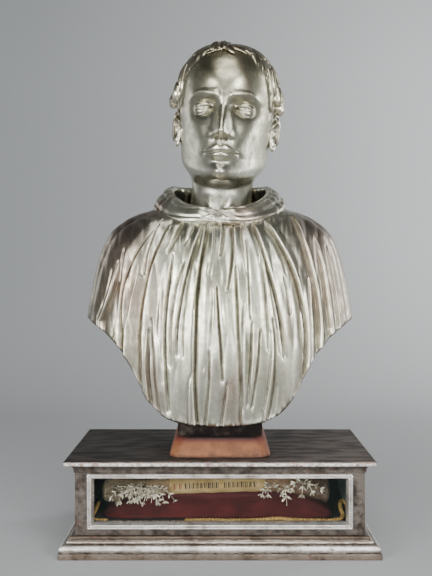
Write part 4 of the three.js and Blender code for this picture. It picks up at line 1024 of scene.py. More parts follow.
def cord_piece(name, route, material):
    """Two strands wound round a route that is sewn along the cushion, each a thin tube on a helix."""
    aside = CORD_DIAMETER / 2 + 0.3
    left, right = CUSHION_LOW[0] - aside, CUSHION_HIGH[0] + aside
    deep = CUSHION_HIGH[1] - CUSHION_LOW[1]
    stations = [(left + (right - left) * along + sideways * CORD_DIAMETER, CUSHION_LOW[1] - aside + back * deep,
                 FLOOR_TOP + CORD_DIAMETER / 2 + height * CORD_DIAMETER) for along, sideways, back, height in route]
    path, places = curve_through(stations, 0.7)
    along = unit(np.gradient(path, axis=0))
    across = unit(np.cross(along, NEARLY_UP))
    up = np.cross(across, along)
    turn = places / STRAND_PITCH * FULL_TURN + np.arange(STRANDS)[:, None] / STRANDS * FULL_TURN
    helix = np.cos(turn)[..., None] * across + np.sin(turn)[..., None] * up
    wound = path + [0, 0, 1.3] + STRAND_WINDING * helix
    make_piece(f"gold_{name}", gather(tubes(wound, STRAND_RADIUS, 12)), [material], "gold_cord", [name])


# Long bone: its length and place, then stations with share of its length, forward, height, radius
BONE_LENGTH = BONE_HIGH[0] - BONE_LOW[0]
BONE_MIDDLE = (BONE_HIGH[0] + BONE_LOW[0]) / 2
SHAFT_HEIGHT, KNOB_HEIGHT = FLOOR_TOP + 39.8, FLOOR_TOP + 31.8
BONE_TILT = 5.0
BONE_FORWARD = 22
BONE_STATIONS = np.array([
    [0, -10, KNOB_HEIGHT, 0], [0.006, -10, KNOB_HEIGHT, 11], [0.03, -10, KNOB_HEIGHT, 18.6],
    [0.055, -9, KNOB_HEIGHT, 20], [0.085, -8, KNOB_HEIGHT + 0.5, 18], [0.12, -6, KNOB_HEIGHT + 3, 14.4],
    [0.19, -3, SHAFT_HEIGHT - 4, 12.5], [0.3, -1, SHAFT_HEIGHT - 1, 12], [0.5, 0, SHAFT_HEIGHT + 1, 11.75],
    [0.72, 3, SHAFT_HEIGHT + 2, 11.75], [0.84, 6, SHAFT_HEIGHT, 14], [0.9, 8, SHAFT_HEIGHT - 3, 16.25],
    [0.96, 10, KNOB_HEIGHT + 2, 18.75], [0.99, 11, KNOB_HEIGHT + 2, 17.5], [1, 11, KNOB_HEIGHT + 2, 0],
])


def bone_point(share, turn, proud):
    """A place on the bone: along its length, round it from the front upwards, and out from its surface."""
    forward, height, radius = (spline(BONE_STATIONS, i, share) for i in (1, 2, 3))
    r = radius + proud
    x = BONE_MIDDLE + (share - 0.5) * BONE_LENGTH
    height = height + BONE_TILT * (share - 0.5)
    return np.stack([x + 0 * r, -BONE_FORWARD - forward - r * np.cos(turn), height + r * np.sin(turn)], -1)


def bone_piece(material):
    """The bone with two condyles at the left, a flared and pitted right end and a ridge along its shaft."""
    share = [np.linspace(0.0015, 0.03, 12), np.linspace(0.034, 0.97, 210), np.linspace(0.973, 0.9985, 14)]
    share = np.concatenate(share)
    turn, share = np.meshgrid(np.linspace(0, FULL_TURN, 96, endpoint=False), share)
    left, right = 1 - smooth(0.06, 0.14, share), smooth(0.8, 0.95, share)
    bulge = -2.6 * left * hill(np.mod(turn + 0.25, FULL_TURN), 0.25, 0.5) + 1.1 * left * np.cos(2 * turn)
    bulge = bulge + 1.5 * right * (np.cos(3 * turn + 0.6) - 0.35)
    bulge = bulge + 0.5 * np.cos(turn * 3 + 1) * (1 - left) * (1 - right)
    plain = bone_point(share, turn, 0 * turn)
    pits = np.clip(ripple(plain, 4.5, 2.0) - 0.15, 0, 1) * (0.25 + 0.75 * right)
    rough = 0.35 * ripple(plain, 21, 1.0) - 2.4 * pits * smooth(0.84, 0.93, share) - 0.35 * pits * left
    ends = smooth(0, 0.012, share) * (1 - smooth(0.985, 1, share))
    grid = bone_point(share, turn, (bulge + rough) * ends - 0.2)
    piece = make_piece("long_bone", pointed(grid), [material], "bone", ["relic_bone"])
    mark_hollows(piece.data, 12, 0.7)


LABEL_LENGTH = 152
LABEL_TURNS = np.radians([-50, 72])


def label_share(t):
    """Share of the bone's length for a share of the label's."""
    return 0.5 + (-0.474 + t) * LABEL_LENGTH / BONE_LENGTH


def label_pieces(paper, ink, faded_ink, rule_ink):
    """A paper band round the front of the shaft, with a row of plain upright strokes over a ruled line."""
    count = 56
    t = np.linspace(0, 1, 120)
    turns = np.linspace(*LABEL_TURNS, count)
    section = np.concatenate([turns, turns[::-1]])
    proud = np.concatenate([np.full(count, 0.9), np.full(count, 1.5)])
    edge = 0.35 * np.sin(np.linspace(0, 40, len(t))) + 0.25 * np.sin(np.linspace(0, 93, len(t)))
    lift = 0.25 * (1 + np.sin(np.linspace(0, 31, len(t))))[:, None] * np.abs(np.linspace(-1, 1, count)) ** 6
    lift = np.concatenate([lift, lift[:, ::-1]], 1)
    spread = section[None] + edge[:, None] / 12 * np.linspace(-1, 1, count * 2)[None] * 0.3
    grid = bone_point(label_share(t)[:, None] + 0 * spread, spread, proud[None] + lift)
    make_piece("paper_label", capped(grid), [paper], "label_paper", ["relic_label"])
    bodies, kinds = [], []

    def bar(place, low, high, width, lean, kind):
        """A flat stroke: share of the label's length, then its foot, head, width and tilt in mm round the bone."""
        u = np.linspace(0, 1, 7)
        middle = place * LABEL_LENGTH + lean * (u - 0.5)
        ring = np.stack([middle - width / 2, middle - width / 6, middle + width / 6, middle + width / 2], -1)
        ring = np.concatenate([ring, ring[:, ::-1]], 1) / LABEL_LENGTH
        turn = (low + (high - low) * u)[:, None] / 12.6 + 0 * ring
        height = np.array([1.52, 1.66, 1.66, 1.52, 1.44, 1.44, 1.44, 1.44])[None] + 0 * ring
        shape = capped(bone_point(label_share(ring), turn, height))
        bodies.append(shape)
        kinds.extend([kind] * len(shape[1]))

    places = np.concatenate([[0.055, 0.11], np.linspace(0.17, 0.49, 9), np.linspace(0.575, 0.88, 8)])
    for k, place in enumerate(places):
        r1, r2, r3 = (float(scatter(k, salt)) for salt in (0.2, 0.5, 0.8))
        kind = 1 if k < 2 else 0
        bar(place, -1.6 - 0.5 * r1, 6.0 + 0.7 * r2, 1.5 + 0.8 * r3, (r1 - 0.5) * 1.6, kind)
        beside = place + (2.4 + 0.6 * r2) / LABEL_LENGTH
        bar(beside, -1.4 - 0.4 * r3, 5.9 + 0.6 * r1, 0.75 + 0.3 * r1, (r3 - 0.5) * 1.6, kind)
    for number in range(14):
        bar(0.03 + 0.07 * number, -4.6, -4.2, 10.4, 0, 2)
    make_piece("label_strokes", gather(bodies), [ink, faded_ink, rule_ink], "label_paper", which=kinds)


def leaves(roots, ways, sides, lengths, curls, stations=5, across=3):
    """Small pointed leaves: the width follows a sine, the halves fold up along the mid-rib, the tip curls."""
    t = np.linspace(0.03, 0.97, stations)[None, :, None, None]
    width = 0.165 * np.sin(np.pi * t**0.9) ** 0.75
    u = np.linspace(-1, 1, across)
    section = np.concatenate([u, u[::-1]])[None, None, :, None]
    under = np.repeat([0.0, -0.4], across)[None, None, :, None]
    roots, ways, sides = (v[:, None, None] for v in (roots, ways, sides))
    lengths, curls = lengths[:, None, None, None], curls[:, None, None, None]
    rise = lengths * (0.5 * width * np.abs(section) + curls * t**2) + under
    grid = roots + ways * lengths * t + sides * lengths * width * section + np.cross(sides, ways) * rise
    return [pointed(leaf) for leaf in grid]


# Sprigs: share along the bone, reach of a stem, half angle of the fan, stems, pairs of leaves, leaf length,
# and how far up the bone they start
SPRIGS = {
    "sprig_left_1": (0.112, 33, 1.0, 6, 4, 7.8, 0.35), "sprig_left_2": (0.168, 27, 1.1, 6, 4, 7.6, 0.5),
    "sprig_left_3": (0.236, 39, 1.0, 10, 4, 7.8, 0.25), "sprig_right_1": (0.735, 27, 0.95, 3, 4, 7.6, 0.2),
    "sprig_right_2": (0.782, 42, 0, 1, 4, 10.2, -0.1), "sprig_right_3": (0.872, 27, 1.5, 5, 3, 7.6, 0.8),
}
LEAF_FACING = np.array([0, -0.85, 0.53])
# How far forward a stem may reach, which is just behind the pane
BEHIND_PANE = -81


def sprig_piece(name, share, reach, fan, stems, pairs, size, upwards, material, salt):
    """Stems that fan out from the top of the bone, arch forward and hang down, with leaves in pairs."""
    number = np.arange(stems)
    r1, r2, r3 = (scatter(number, salt + k) for k in (0.1, 0.4, 0.7))
    angle = fan * (2 * (number + 0.5) / stems - 1) * (stems > 1) + 0.25 * (r1 - 0.5)
    start = bone_point(share + 0.03 * (r2 - 0.5), upwards + 0.6 * upwards * (r3 - 0.5), 1.6)
    length = (reach * (0.75 + 0.4 * r2))[:, None]
    u = np.linspace(0, 1, 12)[None]
    arch = np.stack([np.sin(angle)[:, None] * u, -(0.75 + 0.3 * r3[:, None]) * u + 0.42 * u**2,
                     (0.3 * u - 1.1 * u**2) * np.cos(angle)[:, None] + 0.12 * u], -1)
    paths = start[:, None] + arch * length[..., None]
    paths[..., 1] = np.maximum(paths[..., 1], BEHIND_PANE)
    along = unit(np.gradient(paths, axis=1))
    picked = np.linspace(2, 10, pairs).astype(int)
    at, forward = paths[:, picked].reshape(-1, 3), along[:, picked].reshape(-1, 3)
    aside = unit(np.cross(forward, LEAF_FACING))
    roots, ways, sides, lengths, curls = [], [], [], [], []
    # Left and right leaves of every pair, then one at each stem's tip
    for sign in (-1, 1, 0):
        wild, roll, turn = (scatter(np.arange(len(at)) * 3 + sign, salt + k)[:, None] for k in (0.2, 0.5, 0.9))
        way = unit(forward * (0.6 + 0.3 * wild) + sign * aside * 0.78 + np.array([0, -0.6, 0.3]) * (turn - 0.35))
        flat = unit(np.cross(way, LEAF_FACING))
        up = np.cross(flat, way)
        lean = 1.3 * (roll - 0.5)
        keep = np.ones(len(at), bool) if sign else np.arange(len(at)) % pairs == pairs - 1
        roots.append(at[keep])
        ways.append(way[keep])
        sides.append((flat * np.cos(lean) + up * np.sin(lean))[keep])
        lengths.append((size * (0.82 + 0.36 * wild[:, 0]))[keep])
        curls.append((0.3 * (turn[:, 0] - 0.45))[keep])
    bodies = tubes(paths, np.linspace(0.6, 0.35, 12)[None], 6)
    bodies += leaves(*(np.concatenate(v) for v in (roots, ways, sides, lengths, curls)))
    make_piece(f"leafy_{name}", gather(bodies), [material], "silver_foil", [name])


CUSHION_MIDDLE = (CUSHION_LOW + CUSHION_HIGH) / 2
CUSHION_HALF = (CUSHION_HIGH - CUSHION_LOW) / 2


def cushion_form(rows=26, columns=96):
    """A rounded rectangle with a flat underside, tight edge and crowned top, all one power law, fuller towards
    its two ends than towards its front."""
    turn = np.linspace(0, FULL_TURN, columns, endpoint=False)
    c, s = np.cos(turn), np.sin(turn)
    outline = np.stack([c, s], -1) * ((np.abs(c) ** 8 + np.abs(s) ** 8) ** -0.125)[:, None]
    share = np.sin(np.linspace(0.5 * np.pi, 0.02, rows))
    height = 2 * CUSHION_HALF[2] * (0.12 + 0.88 * np.maximum(1 - share**2.2, 0) ** 0.85)
    share = np.concatenate([[0.3, 0.7, 0.93], share * 0.985])
    height = np.concatenate([[1.5, 1.5, 1.5], height - 1])
    reach = np.stack([share**0.35, share], -1)[:, None]
    level = outline[None] * CUSHION_HALF[:2] * reach * 0.985 + CUSHION_MIDDLE[:2]
    height = np.broadcast_to(height[:, None, None] + CUSHION_LOW[2], level.shape[:2] + (1,))
    return pointed(np.concatenate([level, height], -1))


def clear_of_bone(points):
    """Lowers what would stand into the bone to just under it, with a soft dent round the contact."""
    share = np.clip((points[:, 0] - BONE_MIDDLE) / BONE_LENGTH + 0.5, 0, 1)
    forward, height, radius = (spline(BONE_STATIONS, i, share) for i in (1, 2, 3))
    radius = radius + 1.5
    height = height + BONE_TILT * (share - 0.5)
    away = points[:, 1] + BONE_FORWARD + forward
    under = height - np.sqrt(np.maximum(radius**2 - away**2, 0))
    inside = (np.abs(away) < radius) & (points[:, 2] > under) & (points[:, 0] > BONE_LOW[0] - 2)
    return np.where(inside, under, points[:, 2])


# Size of a face before smoothing and how far the stuffing may push, in mm, and how many frames it pushes
CUSHION_FACE, MOST_PUSH, STUFFING_FRAMES = 5, 6, 20


def cushion_piece(velvet):
    """A stuffed bag: remeshed evenly, blown up as cloth within a cap, pressed by the bone and smoothed."""
    piece = make_piece("velvet_cushion", cushion_form(), [velvet], "velvet", ["cushion"])
    scene = bpy.context.scene
    bpy.context.view_layer.objects.active = piece
    remesh = piece.modifiers.new("even", "REMESH")
    remesh.mode = "VOXEL"
    remesh.voxel_size = CUSHION_FACE * MM
    bpy.ops.object.modifier_apply(modifier=remesh.name)
    start = coordinates(piece.data)
    cloth = piece.modifiers.new("stuffing", "CLOTH")
    cloth.settings.use_pressure = True
    cloth.settings.uniform_pressure_force = 4
    cloth.settings.effector_weights.gravity = 0
    cloth.settings.tension_stiffness = 12
    for frame_number in range(1, STUFFING_FRAMES + 1):
        scene.frame_set(frame_number)
    bpy.ops.object.modifier_apply(modifier=cloth.name)
    points = coordinates(piece.data)
    moved = points - start
    length = np.linalg.norm(moved, axis=1, keepdims=True)
    points = start + moved * np.minimum(1, MOST_PUSH / np.maximum(length, 1e-6))
    scene.frame_set(1)
    # Soft pulls from the sewn edge and a few dents on top
    x, y, z = ((points - CUSHION_MIDDLE) / CUSHION_HALF).T
    edge = np.maximum(np.abs(x), np.abs(y))
    around = np.arctan2(y, x)
    pull = np.sin(around * 38 + 3 * np.sin(around * 5)) * hill(edge, 0.93, 0.12) * smooth(-0.8, 0, z)
    droop = 1 - np.where(x < 0, 0.32, 0.58) * smooth(0.4, 1.02, np.abs(x - 0.06)) ** 1.2
    points[:, 2] = CUSHION_LOW[2] + (points[:, 2] - CUSHION_LOW[2]) * droop
    points[:, 2] += 1.0 * pull + 1.4 * ripple(points, 75, 3.0) * smooth(0.1, 0.6, z) * (1 - smooth(0.85, 1, edge))
    points = np.clip(points, CUSHION_LOW, CUSHION_HIGH)
    points[:, 2] = clear_of_bone(points)
    piece.data.vertices.foreach_set("co", (points * MM).ravel())
    finer = piece.modifiers.new("finer", "SUBSURF")
    finer.levels = finer.render_levels = 1
    bpy.ops.object.modifier_apply(modifier=finer.name)
    piece.data.polygons.foreach_set("use_smooth", np.full(len(piece.data.polygons), True))
    mark_hollows(piece.data, 10, 0.8)


# ---------------------------------------------------------------- finishes
# Settings of a Mix node: its sockets are 0 for the share, 6 and 7 for the two colours
OVER = {"data_type": "RGBA"}
TIMES = {"data_type": "RGBA", "blend_type": "MULTIPLY"}
# What most of a noise lies between
NOISE = 0.3, 0.7
SOLID_WHITE = "#ffffff"


def per_mm(size):
    """The Scale of a pattern, on coordinates in metres, whose parts are about that many mm."""
    return 1 / (size * MM)


def wavering_share(add, along, noise, sway, low, high):
    """Share of the way from low to high along an axis, shifted by a noise by up to that sway, all in mm."""
    wander = add("MapRange", [noise, *NOISE, -sway * MM, sway * MM])
    level = add("Math", [along, wander], operation="ADD")
    return add("MapRange", [level, low * MM, high * MM])


# Heights on the bust in metres: the painted shade on the cloak's sides begins and is full, the collar begins and is
# full, the neck
SIDE_SHADE_FROM, SIDE_SHADE_FULL = 0.33, 0.5
COLLAR_FROM, COLLAR_FULL, NECK_FULL = 0.525, 0.54, 0.56
# Painted shade by height over the whole carving, from its base up to the crown: the collar whitest, the crown darkest
BUST_SHADE_BY_HEIGHT = [
    (0.0, SOLID_WHITE), (0.3, "#f4f4f0"), (0.5, "#efefec"), (0.575, SOLID_WHITE), (0.64, SOLID_WHITE),
    (0.68, "#f1f0ec"), (0.84, "#e6e3da"), (0.9, "#c4bfb1"), (1.0, "#c2bcae"),
]


def silver_leaf():
    """Burnished silver leaf over red bole: worn ridges with a painted highlight, painted shade with warm brown dirt in
    the valleys, faint patches of yellow-green and pinkish tarnish, painted shade on the sides, more on the left and
    towards the crown, and a dark rubbed line along the cut edge."""
    material, add, shader, place = new_material("burnished_silver_leaf")
    hollow = add("Attribute", attribute_name="hollow").outputs["Fac"]
    over_cut = add("Attribute", attribute_name="over_cut").outputs["Fac"]
    grain = add("TexNoise", {"Vector": place, "Scale": per_mm(14), "Detail": 6, "Roughness": 0.65})
    drawn = add("Mapping", {"Vector": place, "Scale": (1, 1, 0.45)})
    cloud = add("TexNoise", {"Vector": drawn, "Scale": per_mm(70), "Detail": 4})
    uneven = add("MapRange", [grain, *NOISE, -0.25, 0.25])
    # Painted highlight on the rubbed ridges, grey between, painted shade with brown dirt at the bottom of the hollows,
    # tinted in large patches of tarnish
    depth = add("Math", [hollow, uneven], operation="ADD")
    depth = add("MapRange", [depth, -1, 1])
    tone = add("ValToRGB", [depth], [
        (0.12, "#f7f3e6"), (0.43, "#cbc9bc"), (0.5, "#b6b7ac"), (0.66, "#a4a29a"), (0.84, "#7b766f"), (1.0, "#3f3831"),
    ])
    tint = add("ValToRGB", [cloud], [(0.32, "#cbc8be"), (0.45, "#f2f2ea"), (0.54, "#fdfcf8"), (0.68, "#d2c1b9")])
    tinted = add("Mix", {0: 1, 6: tone, 7: tint}, **TIMES)
    # Painted shade, brownish, towards both sides of the cloak and more on the left, but hardly any on the collar and
    # above
    axes = add("SeparateXYZ", [place]).outputs
    aside = add("Math", [axes["X"]], operation="ABSOLUTE")
    aside = add("MapRange", [aside, 0.07, 0.15, 0, 0.8])
    high = add("MapRange", [axes["Z"], SIDE_SHADE_FROM, SIDE_SHADE_FULL, 0.3])
    low = add("MapRange", [axes["Z"], COLLAR_FROM, COLLAR_FULL, 1, 0.1])
    aside = add("Math", [aside, high], operation="MULTIPLY")
    aside = add("Math", [aside, low], operation="MULTIPLY")
    # Painted shade by height, darkest on the crown
    share = add("MapRange", [axes["Z"], BUST_LOW[2] * MM, BUST_HIGH[2] * MM])
    level = add("ValToRGB", [share], BUST_SHADE_BY_HEIGHT)
    tinted = add("Mix", {0: 1, 6: tinted, 7: level}, **TIMES)
    darker = add("Mix", {0: aside, 6: tinted, 7: "#86746a"}, **OVER)
    # Painted shade on the left of the cloak, below the collar
    left = add("MapRange", [axes["X"], -0.09, -0.125, 0, 0.45])
    left = add("Math", [left, low], operation="MULTIPLY")
    darker = add("Mix", {0: left, 6: darker, 7: "#9c9087"}, **TIMES)
    # The rubbed line along the cut edge
    edge = add("Math", [over_cut, uneven], operation="ADD")
    edge = add("MapRange", [edge, 0.4, 2.6, 0.9, 0])
    final = add("Mix", {0: edge, 6: darker, 7: "#3a2e27"}, **OVER)
    # The painted shade and dirt in the hollows are less of a metal and rougher than the leaf, and the cloak is more
    # satin than the head
    hollow_shade_and_dirt = add("MapRange", [depth, 0.72, 1, 1, 0.35])
    rough = add("MapRange", [grain, *NOISE, 0.25, 0.38])
    rub = add("MapRange", [depth, 0.5, 0.9, 0, 0.3])
    satin = add("MapRange", [axes["Z"], COLLAR_FULL, NECK_FULL, 0.02, 0])
    rough = add("Math", [rough, rub], operation="ADD")
    rough = add("Math", [rough, satin], operation="ADD")
    wrinkle = add("TexNoise", {"Vector": place, "Scale": per_mm(7), "Detail": 5})
    relief = add("Bump", {"Height": wrinkle, "Strength": 0.35, "Distance": 0.5 * MM})
    join(shader, {"Base Color": final, "Metallic": hollow_shade_and_dirt, "Roughness": rough, "Normal": relief})
    return material


def worn_metal(name, bright, dull, dark, wear, patch, rough, rust_share=0.62, bands=None):
    """Silver leaf on boards, rubbed and tarnished by hand: a dull grey field, brighter patches, brown and reddish spots
    where the leaf is gone, fine scratches, and mouldings picked out by height with painted highlights and painted shade
    if bands are given."""
    material, add, shader, place = new_material(name)
    cloud = add("TexNoise", {"Vector": place, "Scale": per_mm(patch), "Detail": 6, "Roughness": 0.62})
    tone = add("ValToRGB", [cloud], [(0.34, dark), (0.45, dull), (0.58, bright), (0.75, dull)])
    spots = add("TexNoise", {"Vector": place, "Scale": per_mm(9), "Detail": 8, "Roughness": 0.7})
    # Bands by height paint highlights and shade onto the mouldings
    if bands:
        up = add("SeparateXYZ", [place]).outputs["Z"]
        band = add("ValToRGB", [wavering_share(add, up, spots, 0.7, 0, PLINTH_HIGH[2])], bands)
        tone = add("Mix", {0: 1, 6: tone, 7: band}, **TIMES)
    stretch = add("Mapping", {"Vector": place, "Scale": (0.12, 0.6, 1)})
    scratch = add("TexNoise", {"Vector": stretch, "Scale": per_mm(1.6), "Detail": 3})
    lines = add("MapRange", [scratch, 0.4, 0.75, 0.82, 1.15])
    lined = add("Mix", {0: 1, 6: tone, 7: lines}, **TIMES)
    gone = add("MapRange", [spots, rust_share - 0.05, rust_share + 0.04])
    final = add("Mix", {0: gone, 6: lined, 7: wear}, **OVER)
    metal = add("MapRange", [gone, 0, 1, 0.85, 0.1])
    roughness = add("MapRange", [cloud, *NOISE, rough + 0.12, rough])
    relief = add("Bump", {"Height": spots, "Strength": 0.5, "Distance": 0.5 * MM})
    join(shader, {"Base Color": final, "Metallic": metal, "Roughness": roughness, "Normal": relief})
    return material


# Under the lid's top, in mm: the bright rim is full below the first, the dark top is full above the second
RIM_FULL, RIM_END = 3.6, 1.7


def tarnished_lid():
    """Lid: nearly black tarnish with brownish streaks on top, painted darker to the left and lighter to the right as
    shade and light, silver left bright along its edges."""
    material, add, shader, place = new_material("tarnished_silver_lid")
    streak = add("Mapping", {"Vector": place, "Scale": (0.32, 1, 1)})
    cloud = add("TexNoise", {"Vector": streak, "Scale": per_mm(14), "Detail": 6, "Roughness": 0.5})
    spots = add("TexNoise", {"Vector": place, "Scale": per_mm(7), "Detail": 6, "Roughness": 0.7})
    top = add("ValToRGB", [cloud], [(0.3, "#241f1b"), (0.45, "#302a26"), (0.58, "#463d37"), (0.75, "#2e2824")])
    axes = add("SeparateXYZ", [place]).outputs
    # Painted shade to the left and painted light to the right
    left = add("MapRange", [axes["X"], -0.2, 0.2, 0.5, 1.45])
    top = add("Mix", {0: 1, 6: top, 7: left}, **TIMES)
    rim = add("ValToRGB", [spots], [(0.38, "#86655a"), (0.49, "#c4beb7"), (0.62, "#e6e4df")])
    share = wavering_share(add, axes["Z"], spots, 1.2, LID_HIGH[2] - RIM_FULL, LID_HIGH[2] - RIM_END)
    final = add("Mix", {0: share, 6: rim, 7: top}, **OVER)
    rough = add("MapRange", [cloud, *NOISE, 0.66, 0.5])
    metal = add("MapRange", [share, 0, 1, 0.85, 0.2])
    relief = add("Bump", {"Height": cloud, "Strength": 0.3, "Distance": 0.3 * MM})
    join(shader, {"Base Color": final, "Metallic": metal, "Roughness": rough, "Specular IOR Level": 0.22,
                  "Normal": relief})
    return material


def matt(name, tones, patch, rough, bump_size, bump_depth, **sockets):
    """A dull surface whose tone wanders between a few colours, with a fine grain in relief."""
    material, add, shader, place = new_material(name)
    cloud = add("TexNoise", {"Vector": place, "Scale": per_mm(patch), "Detail": 7, "Roughness": 0.65})
    tone = add("ValToRGB", [cloud], tones)
    grain = add("TexNoise", {"Vector": place, "Scale": per_mm(bump_size), "Detail": 5})
    relief = add("Bump", {"Height": grain, "Strength": 0.6, "Distance": bump_depth * MM})
    join(shader, {"Base Color": tone, "Roughness": rough, "Normal": relief})
    join(shader, {socket.replace("_", " "): value for socket, value in sockets.items()})
    return material


def aged_bone():
    """Old cortical bone: pale and dry at the left knob, tan along the shaft, dark, open and porous at the flared right
    end, with painted shade and brown dirt in every pit."""
    material, add, shader, place = new_material("aged_cortical_bone")
    hollow = add("Attribute", attribute_name="hollow").outputs["Fac"]
    cloud = add("TexNoise", {"Vector": place, "Scale": per_mm(20), "Detail": 7, "Roughness": 0.65})
    pores = add("TexNoise", {"Vector": place, "Scale": per_mm(3.5), "Detail": 6, "Roughness": 0.7})
    along = add("SeparateXYZ", [place]).outputs["X"]
    tone = add("ValToRGB", [wavering_share(add, along, cloud, 12, BONE_LOW[0], BONE_HIGH[0])], [
        (0.0, "#a09378"), (0.12, "#8c7a5c"), (0.3, "#86704f"), (0.78, "#80664a"), (0.88, "#564330"), (1.0, "#473728"),
    ])
    patch = add("MapRange", [pores, 0.32, 0.65, 0.5, 1.25])
    tone = add("Mix", {0: 1, 6: tone, 7: patch}, **TIMES)
    # Painted shade with brown dirt in the pits
    hollow_shade_and_dirt = add("MapRange", [hollow, 0.15, 0.8, 0, 0.85])
    final = add("Mix", {0: hollow_shade_and_dirt, 6: tone, 7: "#2e2117"}, **OVER)
    relief = add("Bump", {"Height": pores, "Strength": 0.8, "Distance": 0.8 * MM})
    join(shader, {"Base Color": final, "Roughness": 0.62, "Subsurface Weight": 0.1, "Normal": relief,
                  "Subsurface Radius": (4 * MM, 2 * MM, 1 * MM)})
    return material


def worn_bole():
    """Foot: matt orange-brown bole, paler where it is rubbed, with painted shade at its upper corners, a painted shadow
    of the block along the top and a worn lower edge that is darker."""
    material, add, shader, place = new_material("terracotta_bole")
    cloud = add("TexNoise", {"Vector": place, "Scale": per_mm(28), "Detail": 7, "Roughness": 0.65})
    tone = add("ValToRGB", [cloud], [(0.3, "#44230f"), (0.46, "#623818"), (0.6, "#764a28"), (0.75, "#512a13")])
    axes = add("SeparateXYZ", [place]).outputs
    share = wavering_share(add, axes["Z"], cloud, 1.5, FOOT_LOW[2], FOOT_HIGH[2])
    # Darker along the lower edge, and a painted shadow of the block along the top
    band = add("ValToRGB", [share], [
        (0.0, "#6e625c"), (0.12, "#c9bdb4"), (0.2, SOLID_WHITE), (0.72, "#fff8f0"), (0.86, "#b06a4c"),
        (0.97, "#43261c"),
    ])
    tone = add("Mix", {0: 1, 6: tone, 7: band}, **TIMES)
    # Painted shade on the chamfered upper corners
    aside = add("Math", [axes["X"]], operation="ABSOLUTE")
    aside = add("MapRange", [aside, 46 * MM, 70 * MM, 0, 0.75])
    high = add("MapRange", [share, 0.35, 0.95])
    corner = add("Math", [aside, high], operation="MULTIPLY")
    final = add("Mix", {0: corner, 6: tone, 7: "#5e1f0c"}, **OVER)
    relief = add("Bump", {"Height": cloud, "Strength": 0.6, "Distance": 0.5 * MM})
    join(shader, {"Base Color": final, "Roughness": 0.66, "Normal": relief})
    return material


def old_glass():
    """Thin flat pane: clear, so it only shows as a faint sheen over the case's inside."""
    material, _, shader, _ = new_material("flat_window_glass")
    join(shader, {"Base Color": "#3c4442", "Roughness": 0.03, "Alpha": 0.05, "IOR": 1.45, "Specular IOR Level": 0.25})
    return material


def backdrop():
    """Studio paper: pale grey, with painted shade that graduates it to a darker grey behind and to the left."""
    material, add, shader, place = new_material("graduated_studio_paper")
    axes = add("SeparateXYZ", [place]).outputs
    # Painted shade to the left and further behind
    left = add("MapRange", [axes["X"], 0.7, -0.8])
    behind = add("MapRange", [axes["Y"], 0.3, 1.9])
    back = add("Mix", {0: left, 6: "#a9abac", 7: "#939697"}, **OVER)
    tone = add("Mix", {0: behind, 6: "#9c9e9f", 7: back}, **OVER)
    join(shader, {"Base Color": tone, "Roughness": 0.95})
    return material


# ---------------------------------------------------------------- the object put together
def dress_nodes(material, slot, *nodes):
    """Gives CAD nodes that stay as they are their finish; the slot is not used."""
    for name in nodes:
        piece = bpy.data.objects[name]
        piece.data.materials.clear()
        piece.data.materials.append(material)


def dress_case():
    """The case, the foot and the block under the bust, with their finishes."""
    # Boards: dull brown-grey leaf with darker patches and brown spots where it is rubbed off
    boards = worn_metal("rubbed_silver_boards", "#6b645d", "#4f4842", "#352f2a", "#4c2c20", 13, 0.38)
    # Plinth from the floor up: brown fascia, painted shade in the groove, painted highlight on the ovolo, brown recess,
    # painted highlight on the fillet, dark bead
    mouldings = worn_metal("rubbed_silver_mouldings", "#efece6", "#d5d0c8", "#a0968c", "#5d3a2c", 32, 0.3, 0.64, [
        (0.0, "#8d8177"), (0.26, "#a4988e"), (0.3, "#3a302a"), (0.34, "#fdfbf7"), (0.62, SOLID_WHITE),
        (0.69, "#5a4a40"), (0.74, "#c4bbb3"), (0.8, "#dedad4"), (0.83, "#43382f"), (0.9, "#7d7166"), (1.0, "#6b6057"),
    ])
    # Beads round the pane: the brightest leaf of the case, with few reddish rubs
    beads = worn_metal("bright_silver_bead", "#e6e3de", "#d2cec8", "#a39a90", "#7d5c4b", 30, 0.24, 0.68)
    # Block: a nearly black board with a faint brown wear
    ebony = matt("black_brown_wood", [(0.3, "#080504"), (0.5, "#100a08"), (0.66, "#352d28")], 24, 0.75, 3, 0.25,
                 Specular_IOR_Level=0.12)
    # Right lining: faded blue-green paper as it looks in the light; left and back: the same paper painted dark as shade
    lining = matt("teal_lining_paper", [(0.3, "#8aa99f"), (0.5, "#a6c2b8"), (0.7, "#b6cec4")], 40, 0.9, 1.5, 0.1)
    shaded_lining = matt("shaded_lining_paper", [(0.3, "#141d1d"), (0.5, "#1c2827"), (0.7, "#253533")], 40, 0.9, 1.5, 0.1)
    # Floor inside: brown-black board under old dust
    inside = matt("dusty_inside_boards", [(0.3, "#1c1615"), (0.7, "#3a2f2b")], 40, 0.85, 3, 0.2)
    case_mouldings(boards, mouldings, beads, tarnished_lid())
    foot_piece(worn_bole())
    block_piece(ebony)
    dress_nodes(boards, "worn_silver", "case_side_left", "case_side_right", "case_back", "front_stile_left",
                "front_stile_right", "front_rail_top", "front_rail_bottom")
    dress_nodes(inside, "dark_wood", "case_floor")
    dress_nodes(lining, "lining_paper", "lining_right")
    dress_nodes(shaded_lining, "lining_paper", "lining_left", "lining_back")
    dress_nodes(old_glass(), "glass", "glass_pane")


